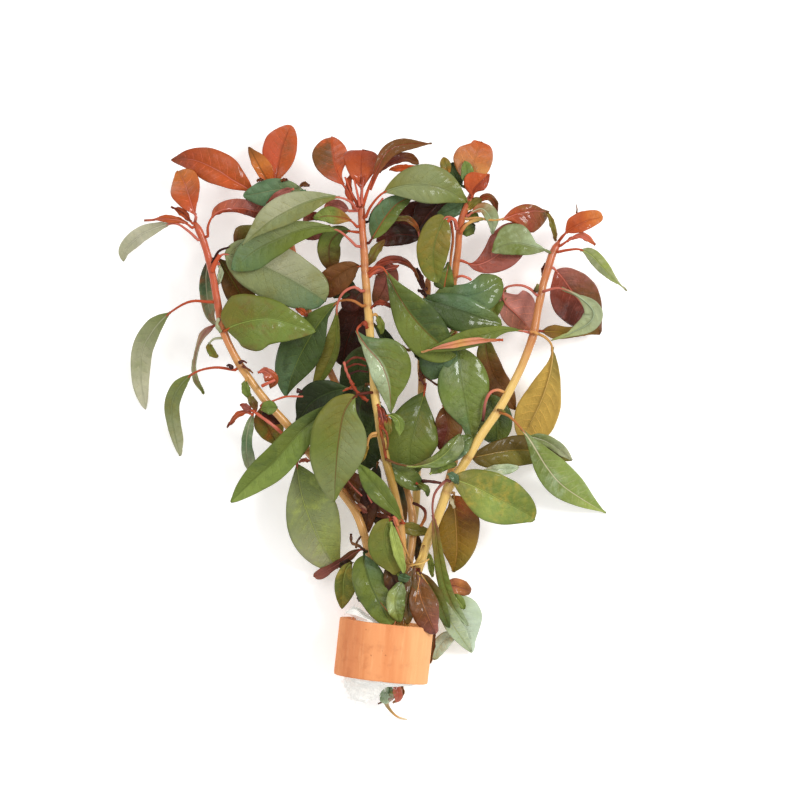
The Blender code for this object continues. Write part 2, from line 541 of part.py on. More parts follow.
def stand_at_origin():
    """Moves the whole bunch so that the middle of its box's foot is the origin."""
    bpy.context.view_layer.update()
    shown = [piece for piece in bpy.data.objects if not piece.hide_render]
    places = [vert.co for piece in shown for vert in piece.data.vertices]
    lows = [min(place[axis] for place in places) for axis in range(3)]
    highs = [max(place[axis] for place in places) for axis in range(3)]
    shift = Vector((-(lows[0] + highs[0]) / 2, -(lows[1] + highs[1]) / 2, -lows[2]))
    for piece in bpy.data.objects:
        piece.data.transform(Matrix.Translation(shift))


def main():
    for piece in list(bpy.data.objects):
        bpy.data.objects.remove(piece)
    make_ring()
    make_wool()
    for stem in STEMS:
        make_stem(stem)
    for leaf in LEAVES:
        make_leaf(leaf)
    make_root()
    stand_at_origin()


main()
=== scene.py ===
"""The looks of a bunch of ludwigia cuttings that lies on its side, held in an open clay ring.

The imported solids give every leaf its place. The bunch is drawn on a plan, as seen from straight above
the table: x runs right and y runs down, 800 steps each way, and every point also has its height over
the table in millimetres.
"""

import math
import random
from collections import namedtuple

import bmesh
import bpy
from bpy.props import FloatProperty, FloatVectorProperty, IntProperty, PointerProperty
from bpy.types import Operator, Panel, PropertyGroup
from mathutils import Matrix, Vector, noise


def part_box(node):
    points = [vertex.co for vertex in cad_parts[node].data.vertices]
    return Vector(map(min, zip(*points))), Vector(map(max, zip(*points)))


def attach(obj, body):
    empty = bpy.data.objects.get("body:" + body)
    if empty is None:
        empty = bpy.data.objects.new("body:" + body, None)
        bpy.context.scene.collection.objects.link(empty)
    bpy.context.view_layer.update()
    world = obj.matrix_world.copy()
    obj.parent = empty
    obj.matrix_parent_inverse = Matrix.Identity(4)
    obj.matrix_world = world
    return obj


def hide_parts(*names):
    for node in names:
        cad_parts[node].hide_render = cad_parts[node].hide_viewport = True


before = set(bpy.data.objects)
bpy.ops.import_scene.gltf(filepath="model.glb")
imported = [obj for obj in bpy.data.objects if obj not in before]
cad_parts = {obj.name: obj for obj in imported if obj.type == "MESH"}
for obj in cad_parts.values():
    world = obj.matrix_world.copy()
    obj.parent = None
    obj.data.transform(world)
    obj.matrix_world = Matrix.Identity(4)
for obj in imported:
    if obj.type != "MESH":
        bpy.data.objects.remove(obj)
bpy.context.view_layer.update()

bl_info = {
    "name": "Ludwigia bunch",
    "version": (1, 0, 0),
    "blender": (4, 5, 0),
    "location": "3D View > Sidebar > Ludwigia",
    "description": "Models a bunch of ludwigia cuttings in a clay ring",
    "category": "Add Mesh",
}

MM = 0.001
PLAN_STEP = 0.34 * MM
PLAN_CENTRE = 400
PLAN_WIDTH = 800
EYE_HEIGHT = 1500 * MM
SENSOR = 36

RING_PLACE = (383.7, 650.5)
RING_LEAN = math.radians(6.3)
RING_WALL = 3 * MM
RING_EDGE = 0.6 * MM
RING_OUTER = 32 * MM
RING_LENGTH = 19.5 * MM
RING_SIDES = 144
LIP_STEPS = 5
WALL_CUTS = 14

WOOL_GAP = 0.3 * MM
# Each section is a distance along the ring's axis, a share of the full radius and a shift left.
WOOL_SECTIONS = (
    (11.25 * MM, 0.85, 0.5 * MM), (9 * MM, 0.97, 0), (0, 1, 0), (-10.25 * MM, 0.97, 0.2 * MM),
    (-11.8 * MM, 0.6, 4.8 * MM), (-16.2 * MM, 0.5, 5.6 * MM), (-17.75 * MM, 0.4, 5.6 * MM))
FIBRE_RADIUS = 0.045 * MM
WOOL_PRESSED = 3 * MM
WOOL_BULGE = 2.6 * MM
WOOL_SPREAD = 4.6 * MM

POCKET_ASIDE = 2.7 * MM
POCKET_UP = 1.0 * MM
BUNDLE_RADIUS = 3.4 * MM
BUNDLE_END = -5.5 * MM
STEM_SIDES = 20
STEM_STEP = 1.2 * MM
NODE_LENGTH = 2.4 * MM
STALK_REACH = 5 * MM
RIB_REACH = 0.85

CURVE_STEPS = 12
LEAST_FULL = 0.6
MOST_FULL = 1.15
SPINE_POINTS = 80

# Colours as the eye sees them: red, green and blue, each up to 255.
PALETTE = {
    "ember": (202, 84, 30), "rust": (184, 82, 32), "amber": (204, 116, 44), "brick": (150, 58, 28),
    "maroon": (96, 36, 22), "wine": (56, 22, 16), "mauve": (158, 90, 78), "umber": (114, 70, 26),
    "golden": (212, 172, 70), "ochre": (150, 116, 34), "bronze": (92, 74, 22),
    "olive": (120, 114, 42), "moss": (106, 118, 44), "green": (114, 132, 56),
    "bright": (140, 158, 74), "lime": (162, 174, 84), "sage": (132, 140, 92),
    "ash": (174, 174, 138), "teal": (92, 120, 82), "pine": (66, 84, 37), "deep": (38, 48, 24),
    "mint": (176, 192, 152), "pink": (208, 112, 92), "coral": (190, 80, 44),
    "fawn": (190, 118, 60), "tan": (212, 158, 88), "straw": (226, 188, 104),
    "cream": (238, 222, 184), "bone": (206, 202, 172), "frost": (206, 222, 196),
    "rose": (204, 128, 122), "salmon": (226, 150, 118),
}

# Half widths are in plan steps at a quarter, a half and three quarters of the blade, left and right
# as seen looking from the stalk to the tip. Roll lifts the left side and fold lifts both, in degrees.
# Ends are the blade's fullness at its foot and its tip: low is round and high is drawn out.
# Colours run from the foot to the tip, left half / right half where they differ; the halves differ
# partly in the leaf's own colour and partly by painted light and shade, for the halves of a folded
# blade that face the light differently. Ribs name the stalk's colour and the midrib's. Veins are how
# strongly the side veins show.
Leaf = namedtuple(
    "Leaf", "name slot colours ribs blush route left right stalk roll fold ends wet wave under veins",
    defaults=(0.1, 0, 6, (0.8, 0.8), 0.25, 0.4, False, 0.5))

LEAVES = (
    Leaf("leaf_left_tip", "rust", "coral rust amber", "pink pink", "umber",
         ((196, 217, 28.8), (192, 206, 28.5), (188, 193, 26), (184, 182, 22), (178, 171, 18.5)),
         (10.5, 16.5, 14), (6.5, 12.5, 15), stalk=0.04, fold=10, ends=(0.8, 0.5), wet=0.5,
         veins=0.9),
    Leaf("leaf_left_far", "sage", "ash bone ash", "pink bone", "ash",
         ((198, 240, 27.5), (187, 230, 28), (173, 223.5, 26), (146, 232, 18), (131, 243.5, 10),
          (124.5, 252, 6), (124, 261, 2.5)),
         (5.5, 7.5, 6.5), (6, 8.5, 8), stalk=0.33, fold=-12, ends=(0.8, 0.7), wet=0.1),
    Leaf("leaf_left_arch", "rust", "rust mauve mauve / brick brick maroon", "coral pink", "wine",
         ((208, 236, 27.5), (208, 226, 29), (213, 216, 30.5), (222, 210, 31), (238, 208, 29),
          (256, 211.5, 22.8), (275, 220, 18.5)),
         (8.5, 9.5, 8), (3.5, 5.5, 7), stalk=0.22, fold=-25, wet=0.6, wave=0.7, veins=1),
    Leaf("leaf_left_droop_upper", "sage", "moss ash bone", "coral ash", "sage",
         ((209, 302, 25), (193, 301, 26), (180, 306, 24.5), (165, 317, 20), (152, 332, 15),
          (142, 352, 9), (141, 380, 4.5), (146, 409, 0.9)),
         (8, 10.5, 8), (11, 10.5, 9), stalk=0.28, fold=-10, ends=(0.9, 0.8), wet=0.1),
    Leaf("leaf_left_droop_lower", "sage", "moss sage ash", "coral sage", "olive",
         ((235, 370, 23.5), (215, 367.5, 24), (195, 372.5, 21.5), (180, 386, 17), (172, 404, 11),
          (173, 425, 6), (180, 456, 0.9)),
         (7, 8, 8), (8, 7, 5), stalk=0.33, fold=-10, ends=(0.9, 0.8), wet=0.1),
    Leaf("leaf_left_broad_pale", "sage", "sage ash sage / sage sage teal", "pink sage", "olive",
         ((216, 262, 27.5), (222, 254.5, 28), (235, 256, 28.2), (252, 262, 28), (270, 270, 27.6),
          (290, 280, 27), (310, 292, 26.2), (325, 302, 25.5)),
         (24, 27, 25), (25, 28, 24), stalk=0.1, roll=7, fold=2, ends=(0.55, 0.45), wet=0.4),
    Leaf("leaf_left_broad_bright", "green", "olive moss green / moss green green", "rust bright", "umber",
         ((225, 331, 27), (233, 326, 29), (250, 321, 31), (270, 319, 31.5), (292, 324.5, 30),
          (316, 332, 27.5)),
         (28, 20, 12.5), (30, 27, 16.5), stalk=0.02, roll=0, fold=-2, ends=(0.5, 0.9)),
    Leaf("leaf_left_olive", "olive", "umber olive olive", "coral umber", "rust",
         ((261, 406, 18.5), (264, 418, 16), (270, 431, 13.5), (280, 448, 10.5)),
         (12, 16, 10), (11, 12, 7), stalk=0.05, ends=(0.6, 0.8)),
    Leaf("leaf_left_low_sage", "sage", "green sage lime / sage sage ash", "pink lime", "lime",
         ((297, 458, 21), (298, 475, 21.5), (303, 500, 19.5), (314, 530, 15), (325, 552, 10),
          (337, 569, 5)),
         (26, 30, 22), (14, 24, 22), stalk=0.05, fold=4, ends=(0.75, 0.55)),
    Leaf("leaf_rear_tip", "rust", "coral coral rust / rust rust rust", "coral brick", "umber",
         ((275, 185, 21.5), (276, 175, 22), (279, 162, 21), (283, 145, 18), (291, 125, 12)),
         (13, 19, 16), (11, 15, 13), stalk=0.04, fold=8, ends=(0.5, 0.5), wet=0.5, veins=0.9),
    Leaf("leaf_rear_rust", "rust", "ember rust brick", "pink pink", "umber",
         ((264, 201, 20), (255, 194, 22), (245, 187, 23), (232, 179.5, 23.5), (219, 171, 23),
          (201.5, 162.5, 21), (187.5, 159, 18.5), (171, 160, 15)),
         (10, 15, 12), (15, 19, 12.5), stalk=0.14, fold=3, ends=(0.6, 0.65), wet=0.5, veins=1),
    Leaf("leaf_rear_blue_green", "sage", "sage teal teal", "teal sage", "teal",
         ((306, 191, 27), (290, 189, 28), (275, 190, 28), (260, 193, 27.2), (243, 196, 26)),
         (11, 15, 12), (9, 12, 10), stalk=0.05, fold=-5, ends=(0.6, 0.5)),
    Leaf("leaf_middle_sage_upper", "sage", "olive sage sage / sage ash sage", "pink moss", "olive",
         ((356, 209, 33), (352, 203, 35), (340, 197.5, 37), (322, 198, 38.3), (300, 205, 38.8),
          (275, 218, 38), (257, 232, 36.5), (242, 245, 35)),
         (10, 13, 7), (10, 17, 12), stalk=0.16, fold=-4),
    Leaf("leaf_middle_sage_lower", "sage", "moss moss teal / moss sage teal", "pink moss", "moss",
         ((356, 246, 32), (348, 238, 33.3), (337, 230, 34.5), (318, 227, 35), (298, 231, 34.6),
          (280, 238, 33.8), (256, 250, 32), (232, 270, 30.2)),
         (8.5, 14, 18), (7, 15, 16), stalk=0.16, fold=-3, ends=(0.9, 0.75)),
    Leaf("leaf_middle_dark", "dark", "pine pine pine / moss pine teal", "fawn moss", "deep",
         ((362, 306, 33), (354, 301, 33.2), (345, 300, 31), (335, 304, 28), (318, 325, 24.5),
          (303, 350, 21), (292, 375, 18), (286, 397, 15)),
         (9, 19, 14), (15, 23, 20), stalk=0.2, fold=-4, ends=(0.8, 0.7), wet=0.4),
    Leaf("leaf_middle_folded_olive", "olive", "olive moss moss / moss olive olive", "pink moss", "bronze",
         ((361, 291, 33), (354, 287, 34.5), (343, 293, 34.8), (337, 306, 32), (337, 322, 27),
          (335, 345, 21.5), (327, 366, 18), (312, 394, 13.5)),
         (3, 6, 5), (8, 12, 9), stalk=0.3, fold=-12, roll=0),
    Leaf("leaf_middle_dark_low", "dark", "pine deep deep", "pink pine", "deep",
         ((356, 388, 25), (343, 389, 24), (328, 393, 21.5), (310, 404, 17.5), (296, 425, 13)),
         (14, 22, 15), (12, 17, 11), stalk=0.1, ends=(0.7, 0.6)),
    Leaf("leaf_middle_long_left", "green", "moss green bright / pine moss green", "coral moss", "pine",
         ((357, 396, 31), (347, 399, 31.5), (325, 413, 31.5), (300, 432, 30.5), (275, 460, 28.5),
          (255, 478, 26), (231, 502, 22)),
         (12, 18, 16), (9, 13, 12.5), stalk=0.05, fold=3),
    Leaf("leaf_middle_big_olive", "sage", "moss sage moss / olive moss sage", "maroon umber", "olive",
         ((366, 393, 33.5), (357, 395, 34.3), (350, 402, 35), (343, 416, 35), (338, 445, 34.5),
          (335.5, 475, 32.5), (334, 502, 30)),
         (21, 28.5, 17), (24, 28.5, 22), stalk=0.09, fold=2, ends=(0.7, 0.75)),
    Leaf("leaf_middle_low_green", "green", "moss moss green", "coral moss", "pine",
         ((404, 523, 28.2), (395, 512, 30.2), (378, 490, 31), (357, 463, 29.5)),
         (6, 11, 9), (7, 10, 8), stalk=0.03),
    Leaf("leaf_middle_tip_brown", "rust", "coral umber umber / ember rust rust", "coral coral", "ember",
         ((357, 202, 33), (350, 194, 34), (341, 181, 33.5), (335, 165, 30), (331, 137, 21)),
         (12, 20, 20), (5.5, 13, 13.5), stalk=0.3, fold=8, ends=(0.8, 0.4), wet=0.7, veins=0.8),
    Leaf("leaf_middle_tip_orange", "rust", "coral rust brick", "coral brick", "brick",
         ((361.5, 195, 33.5), (361.5, 185, 34), (361, 172, 34), (362, 150, 30.5)),
         (8, 14, 18), (8, 15, 18), stalk=0.12, fold=8, ends=(0.9, 0.3), wet=0.6),
    Leaf("leaf_middle_cap", "sage", "olive sage moss / sage sage moss", "coral sage", "olive",
         ((366, 217, 33), (371, 206, 35), (383, 193, 36.5), (403, 186, 37.5), (425, 185, 37),
          (446, 190, 35.5), (467, 202, 33.5)),
         (15, 21, 15), (13, 18, 13.5), stalk=0.26, fold=-3, ends=(0.8, 0.7)),
    Leaf("leaf_middle_red_rib", "green", "pine teal pine / moss moss pine", "maroon brick", "pine",
         ((369, 243, 31.5), (373, 237, 32.5), (379, 227, 33), (387, 215, 33.2), (397, 204, 32.5),
          (412, 196, 31)),
         (12, 14, 9), (9, 10, 8), stalk=0.08, fold=8),
    Leaf("leaf_middle_rust", "rust", "umber umber umber", "rust umber", "maroon",
         ((362, 266, 29), (352, 268, 28.2), (340, 275, 26.5), (328, 284, 24), (315, 292, 21)),
         (12, 15, 14), (10, 13, 12), stalk=0.05, roll=-6),
    Leaf("leaf_middle_long_green", "green", "moss pine pine / deep moss moss", "coral umber", "moss",
         ((369.5, 273, 32), (376, 268, 34), (384, 269, 34.5), (399, 297, 34), (416, 321, 32.8),
          (436, 341, 31), (456, 355, 28.5)),
         (12.5, 21.5, 19), (10, 20.5, 23), stalk=0.15, fold=5, ends=(0.9, 0.5)),
    Leaf("leaf_middle_mint_gloss", "mint", "teal moss moss / sage mint sage", "coral brick", "moss",
         ((363, 323, 31), (357, 331, 33), (367, 347, 34), (381, 364, 34), (389, 386, 33),
          (391, 413, 31.5)),
         (18, 29, 15), (7, 14, 11), stalk=0.1, fold=3, roll=-3, ends=(0.8, 0.8), wet=0.9),
    Leaf("leaf_tall_tip_rust", "rust", "coral rust rust / coral brick brick", "coral brick", "ember",
         ((471.5, 197, 30), (475, 188, 32), (482, 181, 32.5), (489, 174, 32)),
         (12, 15, 9), (5, 8, 6), stalk=0.05, ends=(0.9, 0.7)),
    Leaf("leaf_tall_tip_orange", "rust", "fawn fawn rust / tan fawn rust", "amber fawn", "rust",
         ((469.5, 187, 28.5), (471, 174, 28.5), (474, 161, 27), (478, 150, 24), (481, 141.5, 21)),
         (16, 21, 16), (15, 18, 16.5), stalk=0.1, fold=5, ends=(0.5, 0.18), wet=1, veins=1),
    Leaf("leaf_tall_rust_right", "rust", "rust brick umber", "tan pink", "olive",
         ((467, 219, 28), (478, 218, 28.5), (490, 220, 28), (503, 219, 27.5), (517, 214, 27.5),
          (533, 211, 26), (549, 212, 22)),
         (6, 8, 5), (10, 20, 20), stalk=0.42, fold=-5, ends=(0.9, 0.5), wet=0.6, veins=0.8),
    Leaf("leaf_tall_mauve", "rust", "brick mauve brick", "coral pink", "mauve",
         ((462.5, 261, 23.5), (475, 265, 24), (490, 260, 24), (505, 249, 23), (520, 235, 21),
          (530, 224, 19)),
         (11, 19, 19), (13, 18, 14), stalk=0.08, fold=3, wet=0.6, veins=1),
    Leaf("leaf_tall_olive", "olive", "olive olive moss", "pink moss", "ochre",
         ((456, 229, 28.5), (454.5, 221, 30.2), (450, 217, 31), (444, 219, 31.4), (437, 235, 31.4),
          (433.5, 251, 31), (434, 267, 30), (438, 283, 29)),
         (14, 15.5, 11), (16, 17, 14), stalk=0.22, ends=(0.45, 0.7)),
    Leaf("leaf_tall_maroon", "wine", "wine wine wine", "brick maroon", "deep",
         ((450, 196, 25), (440, 203, 25.5), (428, 215, 24.5), (414, 236, 21.5)),
         (13, 15, 10), (13, 15, 10), stalk=0.05, ends=(0.6, 0.7), wet=0.5),
    Leaf("leaf_tall_blue_green", "sage", "moss teal moss / pine teal moss", "teal teal", "pine",
         ((431, 299, 24), (443, 299, 26), (462, 297, 27.4), (482, 292, 26.8), (502, 280, 24.5)),
         (13, 13, 16), (18, 21, 18), stalk=0.02, fold=-2, ends=(0.6, 0.55), wet=0.6),
    Leaf("leaf_right_glossy_green", "green", "moss green moss / teal green teal", "tan moss", "sage",
         ((457, 343, 23.5), (458, 352, 25), (460, 372, 26), (464, 395, 25.5), (468, 418, 23.5),
          (472, 440, 20.5)),
         (25, 26, 16), (20, 25, 14), stalk=0.04, fold=-3, ends=(0.7, 0.45), wet=0.8),
    Leaf("leaf_inner_green", "green", "pine moss pine", "coral moss", "olive",
         ((425.5, 384, 16.5), (424, 394, 20), (418, 415, 22.5), (411, 440, 23), (410, 465, 21.5),
          (413, 490, 18.5)),
         (18, 27, 15), (21, 25, 19), stalk=0.08, fold=-3, ends=(0.8, 0.7)),
    Leaf("leaf_right_tip", "rust", "coral rust amber", "coral rust", "amber",
         ((562, 237, 21), (568, 231, 22.5), (578, 225, 23.5), (590, 220, 22.5), (603, 217, 18)),
         (10, 11, 9.5), (7, 8.5, 7), stalk=0.12, fold=12, ends=(0.9, 0.4), wet=0.5),
    Leaf("leaf_right_narrow", "green", "sage lime bone / sage sage lime", "coral lime", "ash",
         ((558, 252, 21.5), (568, 250, 22.8), (580, 249.5, 22.8), (592, 256, 20), (603, 268, 15),
          (614, 279, 9), (627, 291, 3)),
         (7.5, 6.5, 2.5), (5.5, 5.5, 2.2), stalk=0.26, fold=12),
    Leaf("leaf_right_mint", "mint", "sage moss sage / mint sage moss", "sage sage", "mint",
         ((546, 250.5, 23), (535, 247, 26.5), (515, 243, 29.5), (500, 247, 30), (492, 252, 29.5)),
         (9, 12, 10), (8, 19, 15), stalk=0.02, fold=-5, ends=(0.6, 0.5)),
    Leaf("leaf_right_gloss_rust", "rust", "mauve umber umber / brick maroon maroon", "pink pink", "mauve",
         ((553.5, 268, 21.5), (562, 277, 21), (572, 291, 18.5), (583, 306, 14.5), (601, 333, 6)),
         (20, 22, 14), (22, 26, 18), stalk=0.04, fold=10, ends=(0.6, 0.6), wet=1),
    Leaf("leaf_right_mauve", "rust", "rose rose mauve / rose mauve brick", "pink pink", "mauve",
         ((536.5, 295, 23), (531, 289.5, 25), (522, 285.5, 25.6), (510, 286, 24.2),
          (503, 291, 21.5), (505, 303, 18), (516, 314, 15), (532, 331, 12)),
         (20, 24, 17), (8, 14, 10), stalk=0.45, fold=-4, ends=(0.45, 0.7), wet=0.6, under=True,
         veins=1.2),
    Leaf("leaf_right_red_fold", "green", "moss moss green", "pink moss", "olive",
         ((529.5, 332.5, 24.5), (515, 330, 28.5), (500, 331, 32), (485, 335, 34.3),
          (465, 339, 35.2), (445, 345, 35.2), (421, 353, 34.4)),
         (5, 10, 7), (6, 8.5, 5), stalk=0.06, fold=-8),
    Leaf("leaf_right_golden", "golden", "olive golden golden / golden golden golden", "tan straw", "ochre",
         ((538.5, 334, 24), (546, 338, 25), (552, 347, 23), (551, 368, 17), (543, 396, 11.5),
          (533, 418, 8), (522, 440, 5)),
         (9, 18.5, 23), (8, 17, 19), stalk=0.17, fold=3, ends=(0.9, 0.5), under=True, veins=0.9),
    Leaf("leaf_right_bright", "green", "moss bright bright / moss green lime", "fawn cream", "mint",
         ((500.5, 412.5, 26.5), (509, 416, 28), (518, 425, 27.5), (530, 440, 25), (546, 466, 19),
          (561, 484, 13.5), (582, 499, 7.5), (606, 513, 1)),
         (11, 19.5, 13.5), (9, 14, 9.5), stalk=0.18, fold=3, ends=(0.9, 0.9), wet=0.6),
    Leaf("leaf_right_olive_strap", "olive", "bronze bronze olive / bronze olive olive", "umber ochre", "bronze",
         ((470, 458, 22), (485, 455, 21), (500, 452, 19.5), (519, 450, 17), (545, 452, 12.5),
          (572, 460, 6)),
         (12, 15, 12), (16, 15.5, 9.5), stalk=0.02, fold=-3, ends=(0.5, 0.9)),
    Leaf("leaf_right_round", "olive", "olive green moss / olive bright green", "tan lime", "golden",
         ((450, 477, 30), (460, 481, 31), (475, 487, 31), (494, 497, 29.5), (515, 508, 27),
          (535, 519, 24)),
         (19, 24, 21), (19, 25, 19), stalk=0.03, fold=-3, ends=(0.55, 0.45), wet=0.5),
    Leaf("leaf_right_golden_low", "golden", "rust umber ochre olive / umber ochre ochre ochre", "tan tan", "ochre",
         ((454, 493, 22), (454.5, 507, 20.5), (456, 525, 17), (457, 545, 12), (456, 560, 8.5),
          (453.5, 572, 6)),
         (23, 23, 16), (12, 19, 14), stalk=0.03, ends=(0.4, 0.75)),
    Leaf("leaf_right_long_strap", "olive", "mauve olive moss green mint", "mauve olive", "umber",
         ((446.5, 480, 28.8), (440, 486, 29.5), (434.5, 494, 29.6), (432.5, 505, 29),
          (433, 515, 28.4), (436, 536, 26.5), (438.5, 555, 24.5), (442, 575, 22), (447, 592, 19.5),
          (455, 609, 16.5), (468, 626, 12.5)),
         (4.5, 6, 6), (4.5, 6, 6), stalk=0.25, fold=5, ends=(0.6, 0.7)),
    Leaf("leaf_base_folded", "green", "moss moss olive / olive moss olive", "brick moss", "olive",
         ((391, 518, 28), (385, 531, 29), (386, 550, 28.5), (396, 574, 26)),
         (8, 13, 14), (14, 17, 12), stalk=0.02, fold=-12, ends=(0.5, 0.4)),
    Leaf("leaf_base_dark", "dark", "teal moss moss / moss moss green", "pine pine", "pine",
         ((364, 553, 20.5), (365, 565, 22.3), (370, 583, 23.8), (379, 602, 24.8), (391, 625, 25)),
         (15, 17, 14), (16, 17, 14), stalk=0.03, fold=-6, ends=(0.6, 0.4), wet=0.5),
    Leaf("leaf_base_mint", "mint", "lime frost frost / mint bone mint", "pine frost", "mint",
         ((431, 585, 14), (440, 600, 13), (450, 617, 10), (460, 634, 6.5), (472, 653, 2.5)),
         (22, 31, 21), (3, 4.5, 4.5), stalk=0.08, ends=(0.8, 0.6)),
)

Stem = namedtuple("Stem", "name colours tip_radius foot_radius place_in_bundle route")

# A place in the bundle is an angle in degrees round the pocket's middle. Radii are in millimetres.
STEMS = (
    Stem("stem_left", "coral coral tan tan tan tan ochre", 1.15, 1.4, 180, (
        (195, 222, 27), (203, 240, 26.5), (209, 260, 26), (213.5, 280, 25.5), (217, 300, 25),
        (223, 330, 24.5), (237, 360, 24), (251, 381, 23), (266, 401, 22), (290, 428, 20.5),
        (315, 460, 18.5), (340, 490, 17.5), (357, 515, 17.5), (367, 545, 17.5), (379, 590, 17.2))),
    Stem("stem_rear", "coral fawn fawn tan ochre", 1.0, 1.35, 60, (
        (275, 192, 20), (290, 240, 17), (305, 300, 14.5), (325, 360, 12.5), (350, 410, 11.5),
        (378, 450, 11.5), (393, 470, 12.5), (402, 482, 14), (409, 500, 15.2), (412.5, 520, 15.8),
        (412, 545, 17), (405.5, 580, 19), (401, 602, 20.2))),
    Stem("stem_middle", "coral fawn straw straw ochre tan straw ochre", 1.15, 1.45, 120, (
        (361, 200, 31), (362, 225, 31), (364, 250, 31), (365, 270, 31), (367, 295, 31),
        (369, 320, 30.5), (371, 345, 30), (373, 370, 30), (375, 395, 29.5), (378, 415, 29.5),
        (381, 435, 28.5), (386, 460, 28), (391, 479, 27), (396, 500, 25.5), (400, 525, 24),
        (402, 550, 23.5), (398, 582, 22.3), (392.5, 602, 21.2))),
    Stem("stem_tall", "coral fawn fawn tan tan ochre", 1.05, 1.4, 300, (
        (472, 190, 28), (470, 200, 28), (465, 210, 27.5), (461, 222, 27), (459, 235, 26.5),
        (458, 250, 26), (456, 265, 25), (455, 275, 24.5), (453, 288, 24), (454, 330, 21.5),
        (455, 385, 18.5), (456, 430, 17), (455, 455, 16), (447, 487, 15.5), (438, 515, 15.2),
        (429, 540, 15), (414, 578, 14.5))),
    Stem("stem_inner", "fawn tan straw olive ochre", 1.15, 1.35, 240, (
        (428, 277, 21), (427, 295, 19.5), (424, 330, 17), (421, 365, 15), (422, 380, 14.5),
        (421, 400, 14), (419, 440, 12.5), (417, 470, 11), (416.5, 490, 10.5), (415.5, 508, 10.5),
        (409, 545, 11.5), (399, 582, 13))),
    Stem("stem_right", "coral fawn fawn straw straw straw straw straw straw bronze", 1.2, 1.5, 0, (
        (559, 241, 20), (556, 247, 20.3), (552, 255, 20.6), (549, 265, 21), (546, 275, 21.3),
        (543, 285, 21.6), (541, 295, 22), (538, 310, 22.4), (534, 332, 23), (530, 345, 23.4),
        (519, 372, 24), (501, 406, 25), (482, 434, 26), (464, 464, 26), (447.3, 490, 25.5),
        (444, 500, 25), (436.6, 520, 24), (427.7, 540, 22.3), (421.8, 560, 20.8),
        (415, 580, 19), (411, 600, 17.6))),
)

ROOT_ROUTE = (
    (393, 690, 14), (390.5, 696, 10), (386.5, 703, 6), (391, 711, 3.2), (398, 717, 1.6),
    (407, 719.5, 1))
ROOT_RADII = (1.3, 1.6, 1.0, 0.55, 0.4, 0.3)

# A twig's radii are in millimetres. Knobs are how far it swells, and bumps how many times.
Twig = namedtuple("Twig", "colours foot tip route knobs bumps", defaults=(0, 1))

def slim(width):
    """Half widths of a plain small blade that is this wide at its middle."""
    return (width * 0.42, width * 0.5, width * 0.42)


